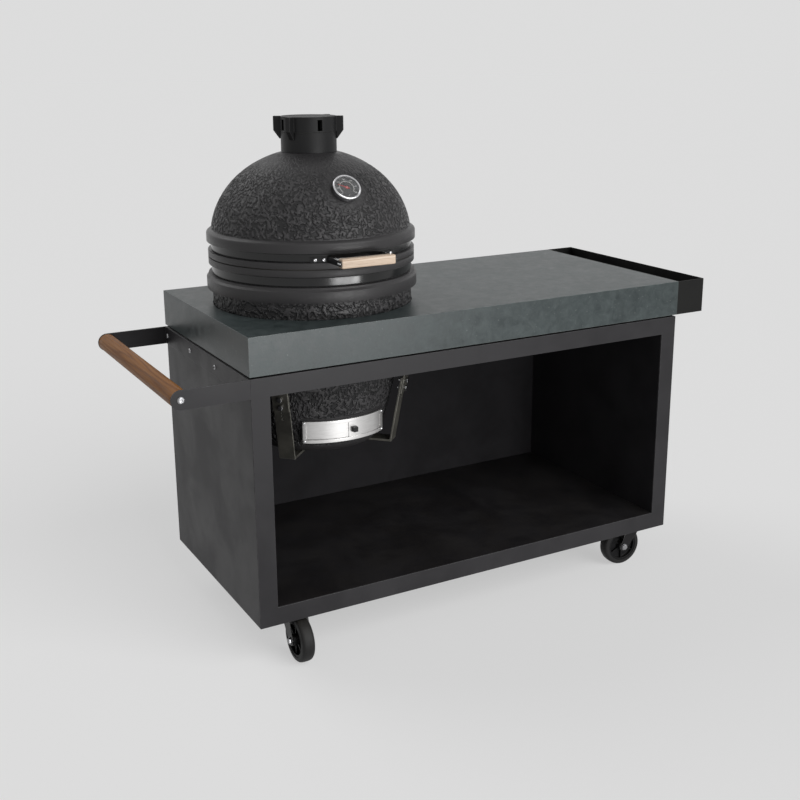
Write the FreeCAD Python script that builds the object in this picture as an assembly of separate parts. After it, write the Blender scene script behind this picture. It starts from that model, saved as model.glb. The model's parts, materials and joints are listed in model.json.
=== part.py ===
import FreeCAD, Part
import math
import os
from FreeCAD import Vector

# Kamado grill table on casters. Millimetres, +X to the right along the front, +Y to the back, +Z up.
# The floor is at z = 0. The sizes below start at the worktop's front left corner on the floor, and the
# finished pieces are moved so that the origin is under the middle of the outer box.

# How far a cutting shape passes the faces that it cuts
overcut = 1.0

# Worktop, with the margins round the kamado's hole; its depth follows from them
worktop_length = 1350.0
worktop_height = 100.0
hole_left_margin = 52.5
hole_front_margin = 62.5
hole_back_margin = 42.5
cladding = 12.0
subframe_wall = 3.0
subframe_width = 30.0
subframe_side_gap = 0.5
bearer_margin = 55.0
bearer_pitch = 345.0

# Cabinet
cabinet_inset = 2.0
cabinet_height = 667.0
shadow_gap = 5.0
frame_member = 50.0
front_sheet = 3.0
side_sheet = 2.5
back_sheet = 2.0
floor_sheet = 3.0
floor_rebate = 0.5
top_panel_sheet = 4.0
top_panel_inset = 12.0
top_rail_wall = 3.0
worktop_hole_clearance = 2.5
panel_hole_clearance = 5.0

# Planter tray
planter_width = 98.0
planter_sheet = 2.0
planter_screw_inset = 80.0
planter_screw_drop = 50.0

# Push handle
handle_reach = 170.5
handle_height = 50.0
handle_sheet = 4.0
handle_bar_diameter = 48.0
handle_bolt_diameter = 10.0
handle_bolt_head = 19.0
handle_bolt_head_height = 4.0
handle_bolt_depth = 40.0
handle_screw_front_margin = 45.0
handle_screw_back_margin = 20.0
handle_screw_count = 4
screw_head = 13.0
screw_head_height = 3.5
screw_diameter = 8.0

# Kamado levels above the worktop face
bowl_bottom_z = -386.0
seam_z = 130.0
seam_gap = 0.3
gasket_thickness = 1.45
gasket_inset = 2.5

# Ceramic bowl; "in" and "out" are steps from the neck, the round that passes the worktop
bowl_neck_radius = 270.0
bowl_foot_in = 102.0
bowl_foot_corner_in = 87.0
bowl_foot_corner_rise = 15.0
bowl_waist_in = 52.0
bowl_waist_z = -244.0
bowl_rim_out = 15.5
bowl_rim_low_z = 46.0
bowl_rim_high_z = 79.0
bowl_rim_chamfer = 5.5
bowl_ledge_out = 10.0
ledge_height = 5.0
lip_out = 9.0
bowl_lip_low_z = 111.0
band_seat_in = 3.5
mouth_in = 22.0
ceramic_wall = 26.0
bowl_floor = 24.0

# Ceramic lid
lid_wall = 22.0
lid_lip_high_z = 147.0
lid_rim_out = 12.0
lid_rim_low_z = 171.0
lid_rim_straight_z = 191.0
lid_rim_high_z = 201.0
lid_shoulder_in = 4.5
lid_shoulder_drop = 3.2
dome_height = 234.7
dome_centre_z = 174.5
lid_top_radius = 76.0
lid_hole_radius = 60.0

# Steel bands, and the gap left under pieces that sit on a round face
seat_gap = 0.3
band_seat_gap = 0.2
band_thickness = 4.3
band_edge_gap = 2.0

# Fire box, fire ring and grates
firebox_foot_gap = 7.0
firebox_waist_gap = 10.0
firebox_rim_gap = 12.0
firebox_wall = 20.0
firebox_foot_wall = 18.0
firebox_belly = 20.0
firebox_taper = 6.0
firebox_top_z = 20.0
firebox_ledge_z = -272.0
fire_ring_step = 2.0
fire_ring_wall = 24.0
fire_ring_top_z = 108.0
grate_thickness = 6.0
grate_bar = 6.0
grate_pitch = 16.0
grate_rim = 8.0
grate_clearance = 3.0

# Draft door
draft_centre_azimuth = -0.75
draft_frame_half_angle = 33.75
draft_low_z = -351.0
draft_high_z = -289.0
draft_boss_proud = 2.27
draft_boss_depth = 22.0
draft_boss_margin = 1.0
draft_boss_margin_angle = 1.0
draft_sheet = 2.0
draft_rail_height = 6.0
draft_lip_height = 3.0
draft_gap = 0.3
draft_door_azimuths = (-0.5, 29.5)
draft_opening_azimuths = (2.0, 27.0)
draft_opening_margin = 13.0
draft_knob_azimuth = 3.5
draft_knob_size = 14.0
draft_knob_depth = 12.0
draft_screw_diameter = 7.0
draft_screw_head = 2.0
draft_screw_inset_angle = 1.2

# Lid handle
lid_handle_z = 154.5
lid_handle_length = 150.0
lid_handle_height = 24.0
lid_handle_depth = 22.0
lid_handle_reach = 72.0
lid_handle_round = 2.0
lid_bracket_sheet = 3.0
lid_bracket_height = 14.0
lid_bracket_end_gap = 2.0
lid_bracket_foot_length = 44.75
lid_bolt_setbacks = (10.2, 31.5)
lid_bolt_diameter = 11.0
lid_bolt_head = 5.0
lid_bolt_head_gap = 0.15
lid_screw_diameter = 5.0
lid_screw_head = 2.0
lid_screw_setbacks = (6.0, 15.0)

# Thermometer
thermometer_elevation = 41.4
bezel_radius = 37.5
case_radius = 34.0
case_depth = 16.0
case_wall = 2.0
bezel_depth = 5.0
dial_level = 11.0
dial_thickness = 0.8
needle_level = 12.3
needle_thickness = 0.6
needle_length = 24.0
needle_tail = 8.0
needle_width = 3.0
needle_tip_width = 0.8
needle_hub_radius = 4.0
needle_rest_angle = 152.0
lens_thickness = 1.2
lens_edge = 1.0
post_radius = 1.5
post_proud = 0.3
post_clearance = 0.05
stem_radius = 4.0
stem_length = 58.0
stem_hole_clearance = 1.0
stem_nut_radius = 9.0
stem_nut_height = 6.0
stem_nut_gap = 0.3

# Top vent
collar_setback = 1.7
collar_wall = 4.0
collar_spigot_gap = 0.3
collar_spigot_depth = 18.0
collar_height = 52.8
sleeve_step = 7.6
sleeve_wall = 6.7
cap_height = 40.5
cap_plate = 4.7
cap_gap = 0.3
vent_window_width = 13.0
vent_window_height = 28.0
vent_window_rise = 4.5
vent_window_azimuths = (0.0, 90.0, 180.0, 270.0)
ear_azimuths = (-60.0, 60.0, -120.0, 120.0)
ear_reach = 18.7
ear_straight_rise = 3.5
ear_tip_drop = 18.5
ear_tip_reach = 2.5
ear_root = 3.0
ear_thickness = 14.0

# Lid hinge
hinge_standoff = 49.0
hinge_pin_diameter = 10.0
hinge_pin_clearance = 0.05
hinge_pin_head = 4.0
hinge_pin_head_radius = 8.0
hinge_pin_head_gap = 0.2
hinge_eye_radius = 12.0
hinge_ear_sheet = 5.0
hinge_ear_gap = 1.0
hinge_ear_root = 1.5
hinge_ear_neck = 12.0
hinge_ear_shoulder = 8.0
hinge_ear_far = 6.0
hinge_lid_ear_x = 50.0
hinge_foot_angle = 19.0
hinge_foot_sheet = 4.0
hinge_foot_margin = 2.0
hinge_bolt_diameter = 9.0
hinge_bolt_head = 4.0
hinge_bolt_angles = (-16.5, -5.0, 5.0, 16.5)

# Hangers that carry the kamado
hanger_azimuths = (45.0, 135.0, 225.0, 315.0)
hanger_width = 45.0
hanger_sheet = 5.0
hanger_foot_out = 40.0
hanger_foot_reach = 36.0
hanger_lean_angle = 10.62
hanger_flange = 48.0
hanger_upper_low_z = -250.0
hanger_lower_high_z = -205.0
hanger_bolt_levels = (-216.0, -238.0)
hanger_hole_levels = (-150.0, -165.0, -180.0)
hanger_hole_clearance = 0.5
hanger_row_hole_radius = 2.5
hanger_row_levels = (-256.0, -265.0, -274.0)
hanger_bolt_diameter = 8.0
hanger_bolt_end = 2.0
hanger_bolt_head = 13.0
hanger_bolt_head_height = 5.0
hanger_bolt_head_gap = 1.4
hanger_nut_gap = 1.4
hanger_foot_bolt_setback = 23.0

# Casters; the whole table stands on their height
caster_height = 158.0
wheel_radius = 62.5
tyre_width = 36.0
tyre_depth = 15.0
tyre_edge = 5.0
hub_web = 12.0
hub_rim = 6.0
hub_rim_inset = 1.0
hub_boss_radius = 15.0
hub_side_gap = 0.4
caster_trail = 47.5
caster_plate_size = 86.0
caster_plate_sheet = 3.0
caster_inset_left = 119.0
caster_inset_right = 68.0
caster_inset_y = 70.0
raceway_radius = 32.0
raceway_height = 16.0
swivel_gap = 0.3
fork_head_sheet = 4.0
fork_head_radius = 32.0
fork_sheet = 3.0
fork_inner_width = 50.0
fork_eye_radius = 14.0
fork_top_back = 26.0
fork_top_front = 31.0
fork_heel_drop = 2.0
kingpin_radius = 6.0
kingpin_clearance = 0.05
kingpin_head_radius = 10.0
kingpin_head_height = 3.0
axle_radius = 4.0
axle_clearance = 0.05
axle_head_radius = 8.0
axle_head_height = 6.0
caster_bolt_radius = 4.0
caster_bolt_head_radius = 6.5
caster_bolt_head_height = 5.0
caster_bolt_inset = 12.0
caster_azimuths = {"front_left": 0.0, "front_right": -95.0, "rear_left": 35.0, "rear_right": -30.0}
caster_rail_height = 17.0
caster_rail_width = 92.0
caster_rail_wall = 2.5

# Radii of the bowl and lid
bowl_foot_radius = bowl_neck_radius - bowl_foot_in
bowl_foot_corner_radius = bowl_neck_radius - bowl_foot_corner_in
bowl_waist_radius = bowl_neck_radius - bowl_waist_in
bowl_rim_radius = bowl_neck_radius + bowl_rim_out
bowl_ledge_radius = bowl_neck_radius + bowl_ledge_out
lip_radius = bowl_neck_radius + lip_out
band_seat_radius = bowl_neck_radius - band_seat_in
mouth_radius = bowl_neck_radius - mouth_in
lid_rim_radius = bowl_neck_radius + lid_rim_out
dome_radius = bowl_neck_radius
bowl_top_z = seam_z - seam_gap / 2 - gasket_thickness
lid_bottom_z = seam_z + seam_gap / 2 + gasket_thickness
bowl_floor_z = bowl_bottom_z + bowl_floor
lid_top_z = dome_centre_z + dome_height * math.sqrt(1 - (lid_top_radius / dome_radius) ** 2)

# Radii and levels of what the bowl and lid carry
band_outer_radius = band_seat_radius + band_seat_gap + band_thickness
firebox_foot_radius = bowl_foot_corner_radius - ceramic_wall - firebox_foot_gap
firebox_waist_radius = bowl_waist_radius - ceramic_wall - firebox_waist_gap
firebox_rim_radius = mouth_radius - firebox_rim_gap
firebox_ledge_radius = firebox_foot_radius - firebox_foot_wall
charcoal_seat_radius = firebox_waist_radius - firebox_wall - firebox_taper
grate_radius = firebox_rim_radius - grate_clearance
lid_handle_front = band_outer_radius + lid_handle_reach
collar_radius = lid_top_radius - collar_setback
collar_bore = lid_hole_radius - collar_wall
collar_top_z = lid_top_z + collar_height
sleeve_radius = collar_radius - sleeve_step
sleeve_bore = sleeve_radius - sleeve_wall
cap_top_z = collar_top_z + cap_height
ear_radius = collar_radius + ear_reach
hinge_radius = band_outer_radius + hinge_standoff
lid_foot_low = lid_lip_high_z + hinge_foot_margin
lid_foot_high = lid_rim_low_z - hinge_foot_margin
bowl_foot_low = bowl_rim_high_z + ledge_height + hinge_foot_margin
bowl_foot_high = bowl_lip_low_z - hinge_foot_margin
hanger_foot_radius = bowl_foot_corner_radius + hanger_foot_out
hanger_foot_tip = bowl_foot_radius - hanger_foot_reach
hanger_foot_bolt_radius = hanger_foot_radius - hanger_foot_bolt_setback
hanger_bolt_hole_radius = hanger_bolt_diameter / 2 + hanger_hole_clearance

# Table sizes and levels
worktop_hole_radius = bowl_neck_radius + worktop_hole_clearance
panel_hole_radius = bowl_neck_radius + panel_hole_clearance
kamado_x = hole_left_margin + worktop_hole_radius
kamado_y = hole_front_margin + worktop_hole_radius
worktop_depth = kamado_y + worktop_hole_radius + hole_back_margin
bay_floor_z = caster_height + caster_rail_height + floor_sheet
cabinet_bottom_z = bay_floor_z - frame_member
cabinet_top_z = cabinet_bottom_z + cabinet_height
worktop_bottom_z = cabinet_top_z + shadow_gap
worktop_top_z = worktop_bottom_z + worktop_height
plate_under_z = worktop_top_z - cladding
panel_under_z = cabinet_top_z - worktop_top_z
cabinet_left = cabinet_inset
cabinet_right = worktop_length - cabinet_inset
cabinet_front = cabinet_inset
cabinet_back = worktop_depth - cabinet_inset
bay_left = cabinet_left + frame_member
bay_right = cabinet_right - frame_member
bay_top_z = cabinet_top_z - frame_member
wall_foot_z = bay_floor_z - floor_rebate
carcass_front = cabinet_front + front_sheet
carcass_back = cabinet_back - back_sheet
top_panel_top_z = cabinet_top_z + top_panel_sheet
pan_left = cabinet_left + side_sheet
pan_right = cabinet_right - side_sheet
handle_centre_z = cabinet_top_z - handle_height / 2
handle_x = cabinet_left - handle_sheet - handle_reach


def box(x_low, x_high, y_low, y_high, z_low, z_high):
    return Part.makeBox(x_high - x_low, y_high - y_low, z_high - z_low, Vector(x_low, y_low, z_low))


def rod(radius, start, end):
    along = end.sub(start)
    return Part.makeCylinder(radius, along.Length, start, along)


def upright(radius, x, y, z_low, z_high):
    return Part.makeCylinder(radius, z_high - z_low, Vector(x, y, z_low))


def tube(outer, inner, z_low, z_high):
    solid = upright(outer, 0, 0, z_low, z_high)
    return solid.cut(upright(inner, 0, 0, z_low - overcut, z_high + overcut))


def prism(points, along):
    """Solid of the closed outline through points, pushed along a vector."""
    wire = Part.makePolygon(list(points) + [points[0]])
    return Part.Face(wire).extrude(along)


def radial_direction(azimuth):
    """Unit vector in plan; azimuth 0 is the front and 90 the right."""
    angle = math.radians(azimuth)
    return Vector(math.sin(angle), -math.cos(angle), 0)


def section_wire(steps):
    """Closed wire of (radius, z) points; an Edge in the list is used as it is."""
    edges = []
    here = None
    first = None
    for step in steps:
        if isinstance(step, Part.Edge):
            edges.append(step)
            here = step.Vertexes[-1].Point
            if first is None:
                first = step.Vertexes[0].Point
            continue
        there = Vector(step[0], 0, step[1])
        if here is None:
            first = there
        elif here.distanceToPoint(there) > 1e-6:
            edges.append(Part.makeLine(here, there))
        here = there
    if here.distanceToPoint(first) > 1e-6:
        edges.append(Part.makeLine(here, first))
    return Part.Wire(Part.__sortEdges__(edges))


def turned(steps, sweep=360.0, start_azimuth=90.0):
    """Revolves a (radius, z) outline about the z axis from start_azimuth."""
    face = Part.Face(section_wire(steps))
    solid = face.revolve(Vector(0, 0, 0), Vector(0, 0, 1), sweep)
    return spun(solid, start_azimuth - 90.0)


def spun(shape, degrees):
    copy = shape.copy()
    copy.rotate(Vector(0, 0, 0), Vector(0, 0, 1), degrees)
    return copy


def moved(shape, offset):
    copy = shape.copy()
    copy.translate(offset)
    return copy


def arc(start, middle, end):
    points = [Vector(radius, 0, z) for radius, z in (start, middle, end)]
    return Part.Arc(*points).toShape()


def joined(shapes):
    solid = shapes[0]
    for shape in shapes[1:]:
        solid = solid.fuse(shape)
    return solid.removeSplitter()


def group(shapes):
    return Part.makeCompound(shapes)


def on_table(shape):
    """Moves a kamado piece from its own axis to its place on the worktop."""
    return moved(shape, Vector(kamado_x, kamado_y, worktop_top_z))


# Worktop pieces


def plate_mitre():
    """Frustum that the top plate fills: full size on top, one thickness in below."""
    low = [Vector(cladding, cladding, plate_under_z),
           Vector(worktop_length - cladding, cladding, plate_under_z),
           Vector(worktop_length - cladding, worktop_depth - cladding, plate_under_z),
           Vector(cladding, worktop_depth - cladding, plate_under_z)]
    high = [Vector(0, 0, worktop_top_z), Vector(worktop_length, 0, worktop_top_z),
            Vector(worktop_length, worktop_depth, worktop_top_z), Vector(0, worktop_depth, worktop_top_z)]
    wires = [Part.makePolygon(points + [points[0]]) for points in (low, high)]
    return Part.makeLoft(wires, True, True)


def worktop_plate():
    return plate_mitre().cut(upright(worktop_hole_radius, kamado_x, kamado_y, plate_under_z - overcut,
                                     worktop_top_z + overcut))


def worktop_apron(corners):
    """One side of the worktop, mitred at both ends and along its top edge."""
    points = [Vector(x, y, worktop_bottom_z) for x, y in corners]
    return prism(points, Vector(0, 0, worktop_height)).cut(plate_mitre())


def worktop_aprons():
    """The four sides of the worktop, front, back, left and right."""
    outer = [(0, 0), (worktop_length, 0), (worktop_length, worktop_depth), (0, worktop_depth)]
    inner_right = worktop_length - cladding
    inner_back = worktop_depth - cladding
    inner = [(cladding, cladding), (inner_right, cladding), (inner_right, inner_back), (cladding, inner_back)]
    sides = []
    for first, second in ((0, 1), (2, 3), (3, 0), (1, 2)):
        sides.append(worktop_apron([outer[first], outer[second], inner[second], inner[first]]))
    return group(sides)


def subframe_tube(x_low, x_high, y_low, y_high):
    """Rectangular tube standing under the plate, open at its narrow ends."""
    outer = box(x_low, x_high, y_low, y_high, top_panel_top_z, plate_under_z)
    wall = subframe_wall
    if x_high - x_low > y_high - y_low:
        return outer.cut(box(x_low - overcut, x_high + overcut, y_low + wall, y_high - wall,
                             top_panel_top_z + wall, plate_under_z - wall))
    return outer.cut(box(x_low + wall, x_high - wall, y_low - overcut, y_high + overcut,
                         top_panel_top_z + wall, plate_under_z - wall))


def worktop_subframe():
    edge = cladding + subframe_side_gap
    left = edge
    right = worktop_length - edge
    front = edge
    back = worktop_depth - edge
    tubes = [subframe_tube(left, right, front, front + subframe_width),
             subframe_tube(left, right, back - subframe_width, back)]
    inner_front = front + subframe_width
    inner_back = back - subframe_width
    tubes.append(subframe_tube(left, left + subframe_width, inner_front, inner_back))
    tubes.append(subframe_tube(right - subframe_width, right, inner_front, inner_back))
    first_bearer = kamado_x + panel_hole_radius + bearer_margin
    for bearer_x in (first_bearer, first_bearer + bearer_pitch):
        tubes.append(subframe_tube(bearer_x, bearer_x + subframe_width, inner_front, inner_back))
    return joined(tubes).cut(upright(panel_hole_radius, kamado_x, kamado_y, cabinet_top_z, worktop_top_z))


# Cabinet pieces


def side_panel(x_low, x_high, skirt_x):
    """Double-skinned wall on the floor pan; its outer skin goes on down over the pan's edge."""
    outer = box(x_low, x_high, carcass_front, carcass_back, wall_foot_z, cabinet_top_z)
    inside = box(x_low + side_sheet, x_high - side_sheet, carcass_front + side_sheet,
                 carcass_back - side_sheet, wall_foot_z - overcut, cabinet_top_z + overcut)
    skirt = box(skirt_x, skirt_x + side_sheet, carcass_front, carcass_back, cabinet_bottom_z, wall_foot_z)
    return joined([outer.cut(inside), skirt])


def back_panel():
    return box(cabinet_left, cabinet_right, carcass_back, cabinet_back, cabinet_bottom_z, cabinet_top_z)


def front_frame():
    sheet = box(cabinet_left, cabinet_right, cabinet_front, carcass_front, cabinet_bottom_z, cabinet_top_z)
    opening = box(bay_left, bay_right, cabinet_front - overcut, carcass_front + overcut,
                  bay_floor_z, bay_top_z)
    return sheet.cut(opening)


def floor_panel():
    """Pan turned upside down: the bay's floor with its four edges folded down. The walls stand in a
    shallow rebate at each end."""
    outer = box(pan_left, pan_right, carcass_front, carcass_back, cabinet_bottom_z, bay_floor_z)
    inside = box(pan_left + floor_sheet, pan_right - floor_sheet, carcass_front + floor_sheet,
                 carcass_back - floor_sheet, cabinet_bottom_z - overcut, bay_floor_z - floor_sheet)
    pan = outer.cut(inside)
    for x_low, x_high in ((pan_left - overcut, bay_left), (bay_right, pan_right + overcut)):
        pan = pan.cut(box(x_low, x_high, carcass_front - overcut, carcass_back + overcut,
                          wall_foot_z, bay_floor_z + overcut))
    return pan


def top_rail(y_low, y_high):
    outer = box(bay_left, bay_right, y_low, y_high, bay_top_z, cabinet_top_z)
    inside = box(bay_left - overcut, bay_right + overcut, y_low + top_rail_wall, y_high - top_rail_wall,
                 bay_top_z + top_rail_wall, cabinet_top_z - top_rail_wall)
    return outer.cut(inside)


def caster_rail(middle_x):
    """Flat tube across the underside of the floor pan, which two casters bolt to."""
    left = middle_x - caster_rail_width / 2
    right = middle_x + caster_rail_width / 2
    front = carcass_front + floor_sheet
    back = carcass_back - floor_sheet
    high = caster_height + caster_rail_height
    wall = caster_rail_wall
    outer = box(left, right, front, back, caster_height, high)
    return outer.cut(box(left + wall, right - wall, front - overcut, back + overcut,
                         caster_height + wall, high - wall))


def cabinet_rails():
    depth = subframe_width
    rails = [top_rail(carcass_front, carcass_front + depth), top_rail(carcass_back - depth, carcass_back),
             caster_rail(caster_inset_left), caster_rail(worktop_length - caster_inset_right)]
    return group(rails)


def cabinet_top_panel():
    panel = box(cabinet_left + top_panel_inset, cabinet_right - top_panel_inset,
                cabinet_front + top_panel_inset, cabinet_back - top_panel_inset,
                cabinet_top_z, top_panel_top_z)
    return panel.cut(upright(panel_hole_radius, kamado_x, kamado_y, cabinet_top_z - overcut,
                             top_panel_top_z + overcut))


def planter_tray():
    left = worktop_length
    right = worktop_length + planter_width
    outer = box(left, right, 0, worktop_depth, worktop_bottom_z, worktop_top_z)
    inside = box(left + planter_sheet, right - planter_sheet, planter_sheet, worktop_depth - planter_sheet,
                 worktop_bottom_z + planter_sheet, worktop_top_z + overcut)
    tray = outer.cut(inside)
    for screw in planter_screw_places():
        tray = tray.cut(rod(screw_diameter / 2, screw.sub(Vector(overcut, 0, 0)),
                            screw.add(Vector(planter_sheet + overcut, 0, 0))))
    return tray


def planter_screw_places():
    """Points on the tray's inner wall, on its worktop side."""
    height = worktop_top_z - planter_screw_drop
    return [Vector(worktop_length, y, height)
            for y in (planter_screw_inset, worktop_depth - planter_screw_inset)]


# Push handle pieces


def handle_screw_places():
    """Points on the cabinet's left face."""
    span = worktop_depth - handle_screw_front_margin - handle_screw_back_margin
    pitch = span / (handle_screw_count - 1)
    return [Vector(cabinet_left, handle_screw_front_margin + number * pitch, handle_centre_z)
            for number in range(handle_screw_count)]


def handle_arm(y_low):
    radius = handle_height / 2
    root = box(handle_x, cabinet_left, y_low, y_low + handle_sheet,
               handle_centre_z - radius, handle_centre_z + radius)
    start = Vector(handle_x, y_low, handle_centre_z)
    end = Vector(handle_x, y_low + handle_sheet, handle_centre_z)
    return root.fuse(rod(radius, start, end))


def push_handle_bracket():
    """U of flat bar: two arms and the web screwed to the cabinet's left side."""
    radius = handle_height / 2
    web = box(cabinet_left - handle_sheet, cabinet_left, cabinet_front, cabinet_back,
              handle_centre_z - radius, handle_centre_z + radius)
    bracket = joined([web, handle_arm(cabinet_front), handle_arm(cabinet_back - handle_sheet)])
    for screw in handle_screw_places():
        bracket = bracket.cut(rod(screw_diameter / 2, screw.sub(Vector(handle_sheet + overcut, 0, 0)),
                                  screw.add(Vector(overcut, 0, 0))))
    bolt_start = Vector(handle_x, cabinet_front - overcut, handle_centre_z)
    bolt_end = Vector(handle_x, cabinet_back + overcut, handle_centre_z)
    return bracket.cut(rod(handle_bolt_diameter / 2, bolt_start, bolt_end))


def push_handle_bar():
    start = Vector(handle_x, cabinet_front + handle_sheet, handle_centre_z)
    end = Vector(handle_x, cabinet_back - handle_sheet, handle_centre_z)
    bar = rod(handle_bar_diameter / 2, start, end)
    inward = Vector(0, handle_bolt_depth, 0)
    for face, into in ((start, inward), (end, inward.negative())):
        bar = bar.cut(rod(handle_bolt_diameter / 2, face.sub(into), face.add(into)))
    return bar


def push_handle_bolts():
    """A round-headed bolt through each arm into the end of the bar."""
    bolts = []
    for face_y, outward in ((cabinet_front, -1), (cabinet_back, 1)):
        face = Vector(handle_x, face_y, handle_centre_z)
        head = rod(handle_bolt_head / 2, face, face.add(Vector(0, outward * handle_bolt_head_height, 0)))
        shank_end = face.sub(Vector(0, outward * (handle_sheet + handle_bolt_depth), 0))
        bolts.append(joined([head, rod(handle_bolt_diameter / 2, face, shank_end)]))
    return group(bolts)


def headed_screw(face, outward, grip):
    """Screw whose head lies on face, with its shank against outward."""
    head = rod(screw_head / 2, face, face.add(outward * screw_head_height))
    shank = rod(screw_diameter / 2, face, face.sub(outward * grip))
    return joined([head, shank])


def cabinet_screws():
    """Screws of the handle's web and of the planter tray."""
    screws = []
    for place in handle_screw_places():
        face = place.sub(Vector(handle_sheet, 0, 0))
        screws.append(headed_screw(face, Vector(-1, 0, 0), handle_sheet + side_sheet))
    for place in planter_screw_places():
        face = place.add(Vector(planter_sheet, 0, 0))
        screws.append(headed_screw(face, Vector(1, 0, 0), planter_sheet + cladding))
    return group(screws)


# Kamado ceramics


def bowl_outer_arc():
    return arc((bowl_foot_corner_radius, bowl_bottom_z + bowl_foot_corner_rise),
               (bowl_waist_radius, bowl_waist_z), (bowl_neck_radius, 0.0))


def bowl_inner_arc():
    return arc((mouth_radius, 0.0), (bowl_waist_radius - ceramic_wall, bowl_waist_z),
               (bowl_foot_corner_radius - ceramic_wall, bowl_floor_z))


def bowl_radius_at(z):
    """Outer radius of the bowl's side at a level between its foot and its neck."""
    circle = bowl_outer_arc().Curve
    return circle.Center.x + math.sqrt(circle.Radius ** 2 - (z - circle.Center.z) ** 2)


def draft_back_radius():
    """Radius of the flat-sided boss that the draft frame lies on."""
    return bowl_radius_at(draft_high_z) + draft_boss_proud


def draft_window(r_low, r_high, z_low, z_high):
    """Wedge-shaped space of the draft opening between two radii."""
    steps = [(r_low, z_low), (r_high, z_low), (r_high, z_high), (r_low, z_high)]
    start, end = draft_opening_azimuths
    return turned(steps, end - start, start)


def kamado_bowl():
    steps = [(0, bowl_bottom_z), (bowl_foot_radius, bowl_bottom_z),
             (bowl_foot_corner_radius, bowl_bottom_z + bowl_foot_corner_rise), bowl_outer_arc(),
             (bowl_neck_radius, bowl_rim_low_z), (bowl_rim_radius, bowl_rim_low_z),
             (bowl_rim_radius, bowl_rim_high_z - bowl_rim_chamfer), (bowl_ledge_radius, bowl_rim_high_z),
             (bowl_ledge_radius, bowl_rim_high_z + ledge_height),
             (band_seat_radius, bowl_rim_high_z + ledge_height), (band_seat_radius, bowl_lip_low_z),
             (lip_radius, bowl_lip_low_z), (lip_radius, bowl_top_z), (mouth_radius, bowl_top_z),
             (mouth_radius, 0.0), bowl_inner_arc(), (0, bowl_floor_z)]
    bowl = turned(steps)
    boss_outer = draft_back_radius()
    boss_inner = boss_outer - draft_boss_depth
    boss_steps = [(boss_inner, draft_low_z), (boss_outer, draft_low_z), (boss_outer, draft_high_z),
                  (boss_inner, draft_high_z)]
    boss_half_angle = draft_frame_half_angle + draft_boss_margin_angle
    boss = turned(boss_steps, 2 * boss_half_angle, draft_centre_azimuth - boss_half_angle)
    bowl = bowl.fuse(boss).removeSplitter()
    window = draft_window(firebox_ledge_radius, bowl_rim_radius, draft_low_z + draft_opening_margin,
                          draft_high_z - draft_opening_margin)
    return bowl.cut(window)


def dome_arc(radius, height, from_radius, to_radius):
    """Elliptic arc up the dome, from one radius to a smaller one."""
    centre = Vector(0, 0, dome_centre_z)
    ellipse = Part.Ellipse(Vector(radius, 0, dome_centre_z), Vector(0, 0, dome_centre_z + height), centre)
    start = math.acos(from_radius / radius)
    end = math.acos(to_radius / radius)
    return Part.ArcOfEllipse(ellipse, start, end).toShape()


def dome_radius_at(z):
    return dome_radius * math.sqrt(1 - ((z - dome_centre_z) / dome_height) ** 2)


def kamado_lid():
    shoulder_radius = dome_radius_at(lid_rim_high_z)
    inner_radius = dome_radius - lid_wall
    inner_height = dome_height - lid_wall
    outer_dome = dome_arc(dome_radius, dome_height, shoulder_radius, lid_top_radius)
    inner_dome = dome_arc(inner_radius, inner_height, inner_radius, lid_hole_radius)
    inner_top = inner_dome.Vertexes[-1].Point
    shoulder = arc((lid_rim_radius, lid_rim_straight_z),
                   (lid_rim_radius - lid_shoulder_in, lid_rim_high_z - lid_shoulder_drop),
                   (shoulder_radius, lid_rim_high_z))
    outline = [Part.makeLine(Vector(inner_radius, 0, lid_bottom_z), Vector(lip_radius, 0, lid_bottom_z))]
    corners = [(lip_radius, lid_bottom_z), (lip_radius, lid_lip_high_z), (band_seat_radius, lid_lip_high_z),
               (band_seat_radius, lid_rim_low_z), (lid_rim_radius, lid_rim_low_z),
               (lid_rim_radius, lid_rim_straight_z)]
    for start, end in zip(corners[:-1], corners[1:]):
        outline.append(Part.makeLine(Vector(start[0], 0, start[1]), Vector(end[0], 0, end[1])))
    outline.append(shoulder)
    outline.append(outer_dome)
    outline.append(Part.makeLine(outer_dome.Vertexes[-1].Point, Vector(lid_hole_radius, 0, lid_top_z)))
    outline.append(Part.makeLine(Vector(lid_hole_radius, 0, lid_top_z), inner_top))
    outline.append(inner_dome)
    outline.append(Part.makeLine(Vector(inner_radius, 0, dome_centre_z),
                                 Vector(inner_radius, 0, lid_bottom_z)))
    face = Part.Face(Part.Wire(Part.__sortEdges__(outline)))
    lid = face.revolve(Vector(0, 0, 0), Vector(0, 0, 1), 360)
    stem_hole = rod(stem_radius + stem_hole_clearance, Vector(0, 0, -stem_length), Vector(0, 0, case_depth))
    return lid.cut(on_dome(stem_hole))


def bowl_gasket():
    return tube(lip_radius - gasket_inset, mouth_radius, bowl_top_z, seam_z - seam_gap / 2)


def lid_gasket():
    return tube(lip_radius - gasket_inset, mouth_radius, seam_z + seam_gap / 2, lid_bottom_z)


def bowl_band():
    low = bowl_rim_high_z + ledge_height + band_edge_gap
    return tube(band_outer_radius, band_seat_radius + band_seat_gap, low, bowl_lip_low_z - band_edge_gap)


def lid_band():
    return tube(band_outer_radius, band_seat_radius + band_seat_gap, lid_lip_high_z + band_edge_gap,
                lid_rim_low_z - band_edge_gap)


# Fire box and grates


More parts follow.
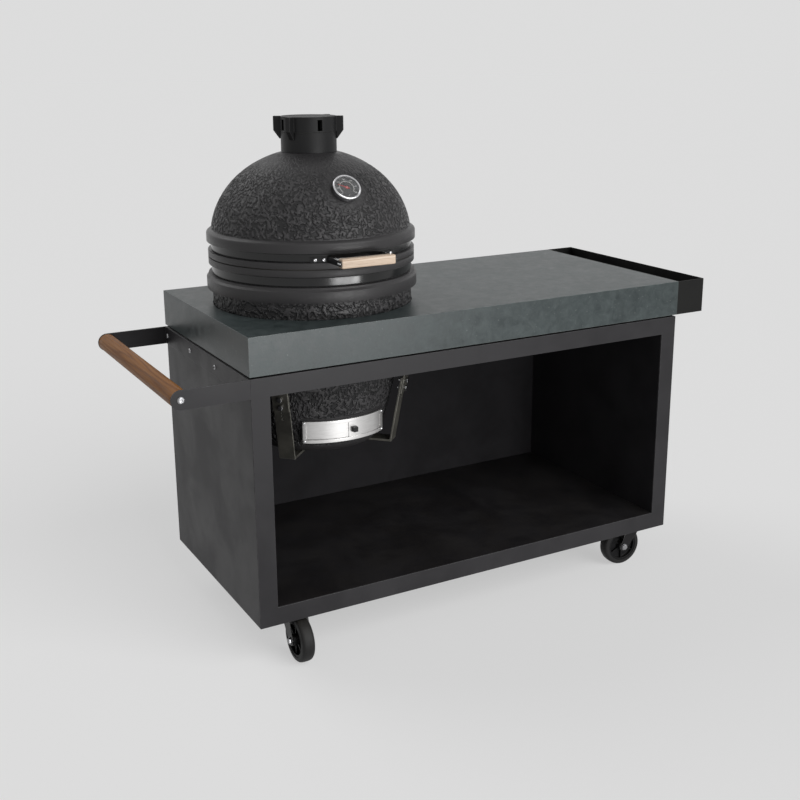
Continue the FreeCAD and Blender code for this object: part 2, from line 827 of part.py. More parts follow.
def fire_box():
    outer = arc((firebox_foot_radius, bowl_floor_z), (firebox_waist_radius, bowl_waist_z),
                (firebox_rim_radius, firebox_top_z))
    rim_inner = firebox_rim_radius - firebox_wall
    inner = arc((rim_inner, firebox_top_z),
                (rim_inner - firebox_belly, (firebox_top_z + firebox_ledge_z) / 2),
                (charcoal_seat_radius, firebox_ledge_z))
    steps = [(firebox_ledge_radius, bowl_floor_z), (firebox_foot_radius, bowl_floor_z), outer,
             (rim_inner, firebox_top_z), inner, (firebox_ledge_radius, firebox_ledge_z)]
    window = draft_window(firebox_ledge_radius - ceramic_wall, firebox_rim_radius,
                          draft_low_z + draft_opening_margin, draft_high_z - draft_opening_margin)
    return turned(steps).cut(window)


def fire_ring():
    return tube(firebox_rim_radius + fire_ring_step, firebox_rim_radius - fire_ring_wall, firebox_top_z,
                fire_ring_top_z)


def grate_slot(radius, low, high):
    """Gap between two straight bars inside the grate's rim, as a closed wire."""
    chord = {y: math.sqrt(radius * radius - y * y) for y in (low, high)}
    corners = [Vector(-chord[low], low, 0), Vector(chord[low], low, 0),
               Vector(chord[high], high, 0), Vector(-chord[high], high, 0)]
    middle = (low + high) / 2
    bulge = math.sqrt(radius * radius - middle * middle)
    right_arc = Part.Arc(corners[1], Vector(bulge, middle, 0), corners[2]).toShape()
    left_arc = Part.Arc(corners[3], Vector(-bulge, middle, 0), corners[0]).toShape()
    return Part.Wire([Part.makeLine(corners[0], corners[1]), right_arc,
                      Part.makeLine(corners[2], corners[3]), left_arc])


def bar_grate(radius, z_low):
    """Round grate of parallel bars inside a rim, with two cross bars."""
    inner = radius - grate_rim
    plate = Part.makeCylinder(radius, grate_thickness)
    slots = []
    gap = grate_pitch - grate_bar
    reach = int((inner - gap) / grate_pitch)
    for number in range(-reach, reach + 1):
        middle = number * grate_pitch
        wire = grate_slot(inner, middle - gap / 2, middle + gap / 2)
        slots.append(Part.Face(wire).extrude(Vector(0, 0, grate_thickness)))
    grate = plate.cut(group(slots))
    for bar_x in (-inner / 2, inner / 2):
        half = math.sqrt(inner * inner - bar_x * bar_x)
        cross = box(bar_x - grate_bar / 2, bar_x + grate_bar / 2, -half, half, 0, grate_thickness)
        grate = grate.fuse(cross)
    return moved(grate.removeSplitter(), Vector(0, 0, z_low))


def cooking_grate():
    return bar_grate(grate_radius, fire_ring_top_z)


def charcoal_grate():
    return bar_grate(charcoal_seat_radius - grate_clearance, firebox_ledge_z)


# Draft door


def draft_frame():
    """Curved plate with an opening, a rail along each long edge and an end stop at each side."""
    back = draft_back_radius()
    plate_face = back + draft_sheet
    lip_back = plate_face + 2 * draft_gap + draft_sheet
    lip_face = lip_back + draft_sheet
    start = draft_centre_azimuth - draft_frame_half_angle
    sweep = 2 * draft_frame_half_angle
    low = draft_low_z + draft_boss_margin
    high = draft_high_z - draft_boss_margin
    plate = turned([(back, low), (plate_face, low), (plate_face, high), (back, high)], sweep, start)
    rails = []
    for edge, inward in ((low, 1), (high, -1)):
        rail_end = edge + inward * draft_rail_height
        lip_end = rail_end + inward * draft_lip_height
        rails.append(turned([(plate_face, edge), (lip_face, edge), (lip_face, lip_end), (lip_back, lip_end),
                             (lip_back, rail_end), (plate_face, rail_end)], sweep, start))
    stop_steps = [(plate_face, low), (lip_face, low), (lip_face, high), (plate_face, high)]
    stop_sweep = 2 * draft_screw_inset_angle
    left_stop = turned(stop_steps, stop_sweep, start)
    right_stop = turned(stop_steps, stop_sweep, start + sweep - stop_sweep)
    frame = joined([plate, left_stop, right_stop] + rails)
    window = draft_window(back - overcut, plate_face + overcut, draft_low_z + draft_opening_margin,
                          draft_high_z - draft_opening_margin)
    return frame.cut(window)


def draft_door():
    back = draft_back_radius() + draft_sheet + draft_gap
    low = draft_low_z + draft_boss_margin + draft_rail_height + draft_gap
    high = draft_high_z - draft_boss_margin - draft_rail_height - draft_gap
    steps = [(back, low), (back + draft_sheet, low), (back + draft_sheet, high), (back, high)]
    start, end = draft_door_azimuths
    return turned(steps, end - start, start)


def draft_door_knob():
    face = draft_back_radius() + 2 * draft_sheet + draft_gap
    half = draft_knob_size / 2
    centre_z = (draft_low_z + draft_high_z) / 2
    knob = box(face - overcut, face + draft_knob_depth, -half, half, centre_z - half, centre_z + half)
    knob = knob.cut(upright(face, 0, 0, centre_z - draft_knob_size, centre_z + draft_knob_size))
    return spun(knob, draft_knob_azimuth - 90.0)


def radial_pin(radius, azimuth, z, from_radius, to_radius):
    direction = radial_direction(azimuth)
    start = direction * from_radius
    end = direction * to_radius
    return rod(radius, Vector(start.x, start.y, z), Vector(end.x, end.y, z))


def draft_screws():
    """A screw at each corner of the draft frame."""
    face = draft_back_radius() + 3 * draft_sheet + 2 * draft_gap
    edge = draft_frame_half_angle - draft_screw_inset_angle
    rail_middle = draft_boss_margin + draft_rail_height / 2 + draft_lip_height / 2
    screws = []
    for azimuth in (draft_centre_azimuth - edge, draft_centre_azimuth + edge):
        for z in (draft_low_z + rail_middle, draft_high_z - rail_middle):
            screws.append(radial_pin(draft_screw_diameter / 2, azimuth, z, face + draft_gap / 2,
                                     face + draft_screw_head))
    return group(screws)


# Lid handle


def lid_foot_azimuth(setback):
    """Azimuth at a length along the right bracket's foot, from its arm."""
    foot_inner = band_outer_radius + seat_gap
    return math.degrees(math.asin(lid_handle_length / 2 / foot_inner) + setback / foot_inner)


def lid_bracket(side):
    """Steel strip: a foot on the lid band and an arm forward to the wooden bar."""
    foot_inner = band_outer_radius + seat_gap
    foot_outer = foot_inner + lid_bracket_sheet
    low = lid_handle_z - lid_bracket_height / 2
    high = lid_handle_z + lid_bracket_height / 2
    arm_inner = lid_handle_length / 2
    arm_outer = arm_inner + lid_bracket_sheet
    near = lid_foot_azimuth(0.0)
    steps = [(foot_inner, low), (foot_outer, low), (foot_outer, high), (foot_inner, high)]
    foot = turned(steps, lid_foot_azimuth(lid_bracket_foot_length) - near, near)
    arm_back = math.sqrt(foot_inner ** 2 - arm_inner ** 2)
    arm = box(arm_inner, arm_outer, lid_bracket_end_gap - lid_handle_front, -arm_back, low, high)
    bracket = joined([arm, foot])
    return bracket if side > 0 else bracket.mirror(Vector(0, 0, 0), Vector(1, 0, 0))


def lid_handle_brackets():
    return group([lid_bracket(-1), lid_bracket(1)])


def lid_handle_bar():
    half = lid_handle_length / 2
    bar = box(-half, half, -lid_handle_front, -lid_handle_front + lid_handle_depth,
              lid_handle_z - lid_handle_height / 2, lid_handle_z + lid_handle_height / 2)
    return bar.makeFillet(lid_handle_round, bar.Edges)


def lid_bolts():
    """Band bolts, bar screws, hinge bolts and the thermometer's nut."""
    pieces = hinge_bolts(lid_foot_low, lid_foot_high)
    face = band_outer_radius + seat_gap + lid_bracket_sheet
    for side in (-1, 1):
        for setback in lid_bolt_setbacks:
            pieces.append(radial_pin(lid_bolt_diameter / 2, side * lid_foot_azimuth(setback), lid_handle_z,
                                     face + lid_bolt_head_gap, face + lid_bolt_head))
        for setback in lid_screw_setbacks:
            start = Vector(side * (lid_handle_length / 2 + lid_bracket_sheet),
                           -lid_handle_front + setback, lid_handle_z)
            pieces.append(rod(lid_screw_diameter / 2, start, start.add(Vector(side * lid_screw_head, 0, 0))))
    nut_z = -inner_wall_depth() - stem_nut_gap
    nut = tube(stem_nut_radius, stem_radius + post_clearance, nut_z - stem_nut_height, nut_z)
    pieces.append(on_dome(nut))
    return group(pieces)


# Thermometer, built facing +Z and laid on the dome


def dome_point():
    """Place on the front of the dome where its normal rises at thermometer_elevation."""
    rise = math.tan(math.radians(thermometer_elevation))
    slope = math.atan2(dome_height * rise, dome_radius)
    return Vector(0, -dome_radius * math.cos(slope), dome_centre_z + dome_height * math.sin(slope))


def inner_wall_depth():
    """Depth below the thermometer's seat at which its axis comes out inside the dome."""
    start = dome_point()
    angle = math.radians(thermometer_elevation)
    inner_radius = dome_radius - lid_wall
    inner_height = dome_height - lid_wall
    start_y = start.y / inner_radius
    start_z = (start.z - dome_centre_z) / inner_height
    step_y = math.cos(angle) / inner_radius
    step_z = -math.sin(angle) / inner_height
    square_term = step_y ** 2 + step_z ** 2
    half_linear_term = start_y * step_y + start_z * step_z
    constant_term = start_y ** 2 + start_z ** 2 - 1
    root = math.sqrt(half_linear_term ** 2 - square_term * constant_term)
    return (-half_linear_term - root) / square_term


def on_dome(shape):
    turn = FreeCAD.Rotation(Vector(1, 0, 0), 90.0 - thermometer_elevation)
    copy = shape.copy()
    copy.Placement = FreeCAD.Placement(dome_point(), turn).multiply(copy.Placement)
    return copy


def thermometer_case():
    outer = Part.makeCylinder(case_radius, case_depth - seat_gap, Vector(0, 0, seat_gap))
    bezel = Part.makeCylinder(bezel_radius, bezel_depth, Vector(0, 0, case_depth - bezel_depth))
    lens_level = case_depth - lens_thickness
    inside = Part.makeCylinder(case_radius - case_wall, lens_level, Vector(0, 0, seat_gap + case_wall))
    lens_seat = Part.makeCylinder(case_radius - lens_edge, case_depth, Vector(0, 0, lens_level))
    stem = rod(stem_radius, Vector(0, 0, -stem_length), Vector(0, 0, seat_gap + case_wall))
    post = upright(post_radius, 0, 0, seat_gap, needle_level + needle_thickness + post_proud)
    case = joined([outer, bezel]).cut(inside).cut(lens_seat)
    return on_dome(joined([case, stem, post]))


def thermometer_dial():
    disc = upright(case_radius - case_wall - post_clearance, 0, 0, dial_level, dial_level + dial_thickness)
    hole = Part.makeCylinder(post_radius + post_clearance, case_depth)
    return on_dome(disc.cut(hole))


def thermometer_needle():
    half = needle_width / 2
    tip = needle_tip_width / 2
    points = [Vector(-needle_tail, -half, needle_level), Vector(0, -half, needle_level),
              Vector(needle_length, -tip, needle_level), Vector(needle_length, tip, needle_level),
              Vector(0, half, needle_level), Vector(-needle_tail, half, needle_level)]
    blade = prism(points, Vector(0, 0, needle_thickness))
    hub = Part.makeCylinder(needle_hub_radius, needle_thickness, Vector(0, 0, needle_level))
    hole = Part.makeCylinder(post_radius + post_clearance, case_depth)
    return on_dome(spun(joined([blade, hub]).cut(hole), needle_rest_angle))


def thermometer_lens():
    return on_dome(Part.makeCylinder(case_radius - lens_edge, lens_thickness,
                                     Vector(0, 0, case_depth - lens_thickness)))


# Top vent


def vent_windows(shape):
    """Cuts the same upright windows through a wall of the vent."""
    half = vent_window_width / 2
    low = collar_top_z + vent_window_rise
    for azimuth in vent_window_azimuths:
        window = box(collar_bore, ear_radius, -half, half, low, low + vent_window_height)
        shape = shape.cut(spun(window, azimuth - 90.0))
    return shape


def vent_collar():
    spigot = lid_hole_radius - collar_spigot_gap
    spigot_z = lid_top_z - collar_spigot_depth
    sleeve_top = cap_top_z - cap_plate - cap_gap
    steps = [(collar_bore, spigot_z), (spigot, spigot_z), (spigot, lid_top_z),
             (collar_radius, lid_top_z), (collar_radius, collar_top_z), (sleeve_radius, collar_top_z),
             (sleeve_radius, sleeve_top), (sleeve_bore, sleeve_top), (sleeve_bore, collar_top_z),
             (collar_bore, collar_top_z)]
    return vent_windows(turned(steps))


def vent_ear(azimuth):
    wall = sleeve_radius + cap_gap + ear_root
    clear = collar_radius + cap_gap
    skirt_z = collar_top_z + cap_gap
    tip_z = collar_top_z - ear_tip_drop
    outline = [(wall, cap_top_z), (ear_radius, cap_top_z), (ear_radius, collar_top_z + ear_straight_rise),
               (collar_radius + ear_tip_reach, tip_z), (clear, tip_z), (clear, skirt_z), (wall, skirt_z)]
    points = [Vector(radius, -ear_thickness / 2, z) for radius, z in outline]
    blade = prism(points, Vector(0, ear_thickness, 0))
    return spun(blade.cut(upright(clear, 0, 0, tip_z - overcut, skirt_z)), azimuth - 90.0)


def vent_cap():
    bore = sleeve_radius + cap_gap
    steps = [(0, cap_top_z - cap_plate), (bore, cap_top_z - cap_plate), (bore, collar_top_z + cap_gap),
             (collar_radius, collar_top_z + cap_gap), (collar_radius, cap_top_z), (0, cap_top_z)]
    cap = vent_windows(turned(steps))
    return joined([cap] + [vent_ear(azimuth) for azimuth in ear_azimuths])


# Lid hinge


def hinge_foot(z_low, z_high):
    """Curved plate that lies on a band at the back."""
    inner = band_outer_radius + seat_gap
    outer = inner + hinge_foot_sheet
    steps = [(inner, z_low), (outer, z_low), (outer, z_high), (inner, z_high)]
    return turned(steps, 2 * hinge_foot_angle, 180.0 - hinge_foot_angle)


def hinge_ear(x_low, foot_low, foot_high):
    """Plate from a hinge foot back to the eye round the pin."""
    near_x = min(abs(x_low), abs(x_low + hinge_ear_sheet))
    root = math.sqrt((band_outer_radius + seat_gap) ** 2 - near_x ** 2) + hinge_ear_root
    eye_top = seam_z + hinge_eye_radius
    eye_bottom = seam_z - hinge_eye_radius
    outline = [(root, foot_low), (root, foot_high)]
    if foot_high > seam_z:
        outline += [(root + hinge_ear_shoulder, foot_high), (hinge_radius + hinge_ear_far, eye_top),
                    (hinge_radius, eye_bottom), (root + hinge_ear_neck, foot_low)]
    else:
        outline += [(root + hinge_ear_neck, foot_high), (hinge_radius, eye_top),
                    (hinge_radius + hinge_ear_far, eye_bottom), (root + hinge_ear_neck, foot_low)]
    plate = prism([Vector(x_low, y, z) for y, z in outline], Vector(hinge_ear_sheet, 0, 0))
    return plate.fuse(hinge_rod(hinge_eye_radius, x_low, x_low + hinge_ear_sheet))


def hinge_rod(radius, x_low, x_high):
    """Cylinder along the hinge's axis."""
    return rod(radius, Vector(x_low, hinge_radius, seam_z), Vector(x_high, hinge_radius, seam_z))


def hinge_bracket(ear_x, foot_low, foot_high):
    far_x = ear_x + hinge_ear_sheet
    ears = [hinge_ear(ear_x, foot_low, foot_high), hinge_ear(-far_x, foot_low, foot_high)]
    bracket = joined([hinge_foot(foot_low, foot_high)] + ears)
    reach = far_x + overcut
    return bracket.cut(hinge_rod(hinge_pin_diameter / 2 + hinge_pin_clearance, -reach, reach))


def hinge_lid_bracket():
    return hinge_bracket(hinge_lid_ear_x, lid_foot_low, lid_foot_high)


def hinge_bowl_bracket():
    return hinge_bracket(hinge_lid_ear_x + hinge_ear_sheet + hinge_ear_gap, bowl_foot_low, bowl_foot_high)


def hinge_bolts(z_low, z_high):
    """Heads of the bolts that hold a hinge foot to its band."""
    face = band_outer_radius + seat_gap + hinge_foot_sheet
    middle = (z_low + z_high) / 2
    return [radial_pin(hinge_bolt_diameter / 2, 180.0 + angle, middle, face + seat_gap / 2,
                       face + hinge_bolt_head) for angle in hinge_bolt_angles]


def hinge_pin():
    """Pin through all four ears, with a head past each outer ear."""
    head_start = hinge_lid_ear_x + 2 * hinge_ear_sheet + hinge_ear_gap + hinge_pin_head_gap
    head_end = head_start + hinge_pin_head
    return joined([hinge_rod(hinge_pin_diameter / 2, -head_start, head_start),
                   hinge_rod(hinge_pin_head_radius, -head_end, -head_start),
                   hinge_rod(hinge_pin_head_radius, head_start, head_end)])


# Hangers


def hanger_radius(z):
    """Inner face of the leaning strap at a level below the worktop."""
    return hanger_foot_radius + math.tan(math.radians(hanger_lean_angle)) * (z - bowl_bottom_z)


def strap(z_low, z_high, offset):
    """Sloping flat bar, drawn in the (radius, z) plane and as wide as the hanger."""
    half = hanger_width / 2
    low = hanger_radius(z_low) + offset
    high = hanger_radius(z_high) + offset
    points = [Vector(low, -half, z_low), Vector(low + hanger_sheet, -half, z_low),
              Vector(high + hanger_sheet, -half, z_high), Vector(high, -half, z_high)]
    return prism(points, Vector(0, hanger_width, 0))


def hanger_holes(levels, radius):
    """Rods that cut level holes through both straps."""
    margin = hanger_sheet + overcut
    return [rod(radius, Vector(hanger_radius(z) - margin, 0, z),
                Vector(hanger_radius(z) + 2 * hanger_sheet + margin, 0, z)) for z in levels]


def hanger_upper_strap():
    half = hanger_width / 2
    top = panel_under_z
    start = hanger_radius(top) + hanger_sheet
    flange = box(start, start + hanger_flange, -half, half, top - hanger_sheet, top)
    solid = joined([strap(hanger_upper_low_z, top, hanger_sheet), flange])
    for hole in hanger_holes(hanger_bolt_levels + hanger_hole_levels, hanger_bolt_hole_radius):
        solid = solid.cut(hole)
    return solid


def hanger_lower_bracket():
    half = hanger_width / 2
    under = bowl_bottom_z - hanger_sheet
    foot = box(hanger_foot_tip, hanger_foot_radius + hanger_sheet, -half, half, under, bowl_bottom_z)
    solid = joined([strap(under, hanger_lower_high_z, 0.0), foot])
    holes = hanger_holes(hanger_bolt_levels, hanger_bolt_hole_radius)
    for hole in holes + hanger_holes(hanger_row_levels, hanger_row_hole_radius):
        solid = solid.cut(hole)
    return solid


def hanger_bolt_set():
    """Two bolts with nuts through the overlap, and a bolt head under the foot."""
    pieces = []
    for z in hanger_bolt_levels:
        head_start = hanger_radius(z) + 2 * hanger_sheet + hanger_bolt_head_gap
        head_end = head_start + hanger_bolt_head_height
        nut_end = hanger_radius(z) - hanger_nut_gap
        nut_start = nut_end - hanger_bolt_head_height
        pieces.append(joined([
            rod(hanger_bolt_diameter / 2, Vector(nut_start - hanger_bolt_end, 0, z),
                Vector(head_start, 0, z)),
            rod(hanger_bolt_head / 2, Vector(head_start, 0, z), Vector(head_end, 0, z)),
            rod(hanger_bolt_head / 2, Vector(nut_start, 0, z), Vector(nut_end, 0, z))]))
    under = bowl_bottom_z - hanger_sheet
    pieces.append(upright(hanger_bolt_head / 2, hanger_foot_bolt_radius, 0,
                          under - hanger_bolt_head_height, under))
    return group(pieces)


def around_kamado(piece):
    return group([spun(piece, azimuth - 90.0) for azimuth in hanger_azimuths])


# Casters, built with the swivel axis on z and the wheel trailing to the front


def caster_plate():
    """Mounting plate with the fixed raceway and the kingpin under it."""
    half = caster_plate_size / 2
    plate_low = caster_height - caster_plate_sheet
    plate = box(-half, half, -half, half, plate_low, caster_height)
    race_low = plate_low - raceway_height
    head_high = race_low - 2 * swivel_gap - fork_head_sheet
    head_low = head_high - kingpin_head_height
    solid = joined([plate, upright(raceway_radius, 0, 0, race_low, plate_low),
                    upright(kingpin_radius, 0, 0, head_low, race_low),
                    upright(kingpin_head_radius, 0, 0, head_low, head_high)])
    for bolt in caster_bolt_places():
        solid = solid.cut(upright(caster_bolt_radius, bolt.x, bolt.y, plate_low - overcut,
                                  caster_height + overcut))
    return solid


def caster_bolt_places():
    reach = caster_plate_size / 2 - caster_bolt_inset
    return [Vector(x, y, 0) for x in (-reach, reach) for y in (-reach, reach)]


def caster_bolt_set():
    under = caster_height - caster_plate_sheet
    pieces = []
    for bolt in caster_bolt_places():
        shank = upright(caster_bolt_radius, bolt.x, bolt.y, under, caster_height + caster_rail_wall)
        head = upright(caster_bolt_head_radius, bolt.x, bolt.y, under - caster_bolt_head_height, under)
        pieces.append(joined([shank, head]))
    return pieces


def fork_head_top():
    return caster_height - caster_plate_sheet - raceway_height - swivel_gap


def fork_leg(x_low):
    top = fork_head_top()
    points = [Vector(x_low, fork_top_back, top), Vector(x_low, -fork_top_front, top),
              Vector(x_low, -caster_trail - fork_eye_radius, wheel_radius),
              Vector(x_low, -caster_trail + fork_eye_radius, wheel_radius - fork_heel_drop)]
    plate = prism(points, Vector(fork_sheet, 0, 0))
    eye = rod(fork_eye_radius, Vector(x_low, -caster_trail, wheel_radius),
              Vector(x_low + fork_sheet, -caster_trail, wheel_radius))
    return plate.fuse(eye)


def caster_fork():
    top = fork_head_top()
    half = fork_inner_width / 2
    disc = upright(fork_head_radius, 0, 0, top - fork_head_sheet, top)
    outer = half + fork_sheet
    bridge = box(-outer, outer, -fork_top_front, fork_top_back, top - fork_head_sheet, top)
    fork = joined([disc, bridge, fork_leg(half), fork_leg(-outer)])
    fork = fork.cut(upright(kingpin_radius + kingpin_clearance, 0, 0, top - fork_head_sheet - overcut,
                            top + overcut))
    reach = outer + overcut
    return fork.cut(rod(axle_radius, Vector(-reach, -caster_trail, wheel_radius),
                        Vector(reach, -caster_trail, wheel_radius)))


def caster_axle():
    half = fork_inner_width / 2 + fork_sheet
    centre = Vector(0, -caster_trail, wheel_radius)
    pieces = [rod(axle_radius, centre.sub(Vector(half, 0, 0)), centre.add(Vector(half, 0, 0)))]
    for side in (-1, 1):
        start = centre.add(Vector(side * half, 0, 0))
        pieces.append(rod(axle_head_radius, start, start.add(Vector(side * axle_head_height, 0, 0))))
    return joined(pieces)


def wheel_turned(steps):
    """Revolves an (axial, radius) outline about the wheel's axle."""
    points = [Vector(along, 0, radius) for along, radius in steps]
    face = Part.Face(Part.makePolygon(points + [points[0]]))
    solid = face.revolve(Vector(0, 0, 0), Vector(1, 0, 0), 360)
    return moved(solid, Vector(0, -caster_trail, wheel_radius))


def caster_tyre():
    half = tyre_width / 2
    inner = wheel_radius - tyre_depth
    return wheel_turned([(-half, inner), (half, inner), (half, wheel_radius - tyre_edge),
                         (half - tyre_edge, wheel_radius), (-half + tyre_edge, wheel_radius),
                         (-half, wheel_radius - tyre_edge)])


def caster_hub():
    half = tyre_width / 2 - hub_rim_inset
    rim = wheel_radius - tyre_depth
    web = hub_web / 2
    boss = fork_inner_width / 2 - hub_side_gap
    bore = axle_radius + axle_clearance
    return wheel_turned([(-boss, bore), (boss, bore), (boss, hub_boss_radius), (web, hub_boss_radius),
                         (web, rim - hub_rim), (half, rim - hub_rim), (half, rim), (-half, rim),
                         (-half, rim - hub_rim), (-web, rim - hub_rim), (-web, hub_boss_radius),
                         (-boss, hub_boss_radius)])


def caster_places():
    """Swivel axes in plan, by caster name."""
    left = caster_inset_left
    right = worktop_length - caster_inset_right
    front = caster_inset_y
    back = worktop_depth - caster_inset_y
    return {"front_left": Vector(left, front, 0), "front_right": Vector(right, front, 0),
            "rear_left": Vector(left, back, 0), "rear_right": Vector(right, back, 0)}


def at_caster(shape, name, turn=0.0):
    return moved(spun(shape, turn), caster_places()[name])


# All nodes


def table_nodes():
    screws = cabinet_screws()
    return {
        "worktop_plate": worktop_plate(),
        "worktop_aprons": worktop_aprons().cut(screws),
        "worktop_subframe": worktop_subframe().cut(screws),
        "left_side_panel": side_panel(cabinet_left, bay_left, cabinet_left).cut(screws),
        "right_side_panel": side_panel(bay_right, cabinet_right, pan_right),
        "back_panel": back_panel(),
        "front_frame": front_frame(),
        "floor_panel": floor_panel(),
        "cabinet_top_panel": cabinet_top_panel(),
        "planter_tray": planter_tray(),
        "push_handle_bracket": push_handle_bracket(),
        "push_handle_bar": push_handle_bar(),
        "cabinet_fasteners": group([screws, push_handle_bolts()]),
    }


def kamado_nodes():
    pieces = {
        "kamado_bowl": kamado_bowl(),
        "kamado_lid": kamado_lid(),
        "bowl_gasket": bowl_gasket(),
        "lid_gasket": lid_gasket(),
        "bowl_band": bowl_band(),
        "lid_band": lid_band(),
        "fire_box": fire_box(),
        "fire_ring": fire_ring(),
        "charcoal_grate": charcoal_grate(),
        "cooking_grate": cooking_grate(),
        "draft_frame": draft_frame(),
        "draft_door": draft_door(),
        "draft_door_knob": draft_door_knob(),
        "lid_handle_brackets": lid_handle_brackets(),
        "lid_handle_bar": lid_handle_bar(),
        "lid_bolts": lid_bolts(),
        "thermometer_case": thermometer_case(),
        "thermometer_dial": thermometer_dial(),
        "thermometer_needle": thermometer_needle(),
        "thermometer_lens": thermometer_lens(),
        "vent_collar": vent_collar(),
        "vent_cap": vent_cap(),
        "hinge_bowl_bracket": hinge_bowl_bracket(),
        "hinge_lid_bracket": hinge_lid_bracket(),
        "hinge_pin": hinge_pin(),
        "hanger_upper_straps": around_kamado(hanger_upper_strap()),
        "hanger_lower_brackets": around_kamado(hanger_lower_bracket()),
        "kamado_fasteners": group([around_kamado(hanger_bolt_set()), draft_screws()]
                                  + hinge_bolts(bowl_foot_low, bowl_foot_high)),
    }
    return {name: on_table(shape) for name, shape in pieces.items()}


def caster_nodes():
    plates = []
    bolts = []
    pieces = {}
    makers = {"fork": caster_fork, "axle": caster_axle, "tyre": caster_tyre, "hub": caster_hub}
    for name, azimuth in caster_azimuths.items():
        plates.append(at_caster(caster_plate(), name))
        bolts += [at_caster(bolt, name) for bolt in caster_bolt_set()]
        for part_name, maker in makers.items():
            pieces["caster_" + part_name + "_" + name] = at_caster(maker(), name, azimuth)
    pieces["caster_plates"] = group(plates)
    pieces["caster_bolts"] = group(bolts)
    pieces["cabinet_rails"] = cabinet_rails().cut(pieces["caster_bolts"])
    return pieces


def main():
    os.makedirs("parts", exist_ok=True)
    nodes = {}
    nodes.update(table_nodes())
    nodes.update(kamado_nodes())
    nodes.update(caster_nodes())
    middle = group(list(nodes.values())).BoundBox.Center
    shift = Vector(-middle.x, -middle.y, 0)
    for name, shape in nodes.items():
        placed = moved(shape, shift)
        placed.exportStep("parts/" + name + ".step")
    print(len(nodes), "nodes, moved by", shift)
    return shift


plan_shift = main()
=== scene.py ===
import bmesh
import bpy
import json
import math
from mathutils import Matrix, Vector, noise

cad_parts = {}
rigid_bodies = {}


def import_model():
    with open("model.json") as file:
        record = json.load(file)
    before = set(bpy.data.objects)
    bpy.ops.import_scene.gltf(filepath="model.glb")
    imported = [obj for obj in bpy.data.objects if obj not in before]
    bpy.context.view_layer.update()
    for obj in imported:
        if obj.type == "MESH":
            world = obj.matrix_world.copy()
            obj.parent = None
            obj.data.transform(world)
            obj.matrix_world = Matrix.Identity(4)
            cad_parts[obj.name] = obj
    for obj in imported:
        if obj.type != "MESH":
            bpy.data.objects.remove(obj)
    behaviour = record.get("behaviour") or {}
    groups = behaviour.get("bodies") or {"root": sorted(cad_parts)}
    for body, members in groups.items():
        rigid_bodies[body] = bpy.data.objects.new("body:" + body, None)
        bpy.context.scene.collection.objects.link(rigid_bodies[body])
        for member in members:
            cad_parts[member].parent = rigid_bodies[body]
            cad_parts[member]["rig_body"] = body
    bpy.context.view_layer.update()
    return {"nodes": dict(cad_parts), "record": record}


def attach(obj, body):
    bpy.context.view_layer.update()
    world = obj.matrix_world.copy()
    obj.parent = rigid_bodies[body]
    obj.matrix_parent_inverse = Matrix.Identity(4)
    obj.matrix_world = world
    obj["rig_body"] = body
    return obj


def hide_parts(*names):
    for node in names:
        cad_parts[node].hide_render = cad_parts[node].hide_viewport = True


# Kamado grill table. Metres; the floor is at z = 0 and the front looks along -Y.
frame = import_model()
slotOfNode = {part["node"]: part["material_slot"] for part in frame["record"]["subparts"]}

kamadoPlace = Vector((-0.30025, 0.0215, 0.9))  # the kamado's axis at the worktop's face
atKamado = Matrix.Translation(kamadoPlace)
print("frame loaded,", len(frame["nodes"]), "nodes")


def towards(azimuth, elevation=0.0):  # degrees; azimuth 0 is the front, 90 the right
    side, rise = math.radians(azimuth), math.radians(elevation)
    return Vector((math.sin(side) * math.cos(rise), -math.cos(side) * math.cos(rise), math.sin(rise)))


# Camera at the photograph's viewing angle
cameraSettings = {
    "place": (-1.58465, -2.8086, 1.5604),
    "azimuth": -29.228,
    "elevation": 15.427,
    "roll": -0.289,
    "lens": 51.48,
    "sensor": 36,
    "shiftX": -0.00983,
    "shiftY": -0.0434,
}


def makeCamera(values):
    azimuth, roll = math.radians(values["azimuth"]), math.radians(values["roll"])
    back = towards(values["azimuth"], values["elevation"])
    level = Vector((math.cos(azimuth), math.sin(azimuth), 0))
    upright = back.cross(level)
    right = level * math.cos(roll) + upright * math.sin(roll)
    up = upright * math.cos(roll) - level * math.sin(roll)
    data = bpy.data.cameras.new("photoCamera")
    data.lens = values["lens"]
    data.sensor_width = values["sensor"]
    data.shift_x = values["shiftX"]
    data.shift_y = values["shiftY"]
    camera = bpy.data.objects.new("photoCamera", data)
    turn = Matrix((right, up, back)).transposed().to_4x4()
    camera.matrix_world = Matrix.Translation(values["place"]) @ turn
    bpy.context.scene.collection.objects.link(camera)
    bpy.context.scene.camera = camera


makeCamera(cameraSettings)
print("camera placed")


# Shader helpers

def paint(colour):  # a screen colour, 0 to 255, as the shader wants it
    channels = []
    for value in (part / 255 for part in colour):
        channels.append(value / 12.92 if value <= 0.04045 else ((value + 0.055) / 1.055) ** 2.4)
    return (*channels, 1.0)


def addNode(tree, kind, inputs=None, **settings):  # inputs are values, or sockets to link from
    node = tree.nodes.new(kind)
    for name, value in settings.items():
        setattr(node, name, value)
    for name, value in (inputs or {}).items():
        if isinstance(value, bpy.types.NodeSocket):
            tree.links.new(value, node.inputs[name])
        else:
            node.inputs[name].default_value = value
    return node


def calculate(tree, operation, first, second=0.0, third=0.0):
    inputs = {0: first, 1: second, 2: third}
    return addNode(tree, "ShaderNodeMath", inputs, operation=operation).outputs[0]


def multiply(tree, first, second):
    return calculate(tree, "MULTIPLY", first, second)


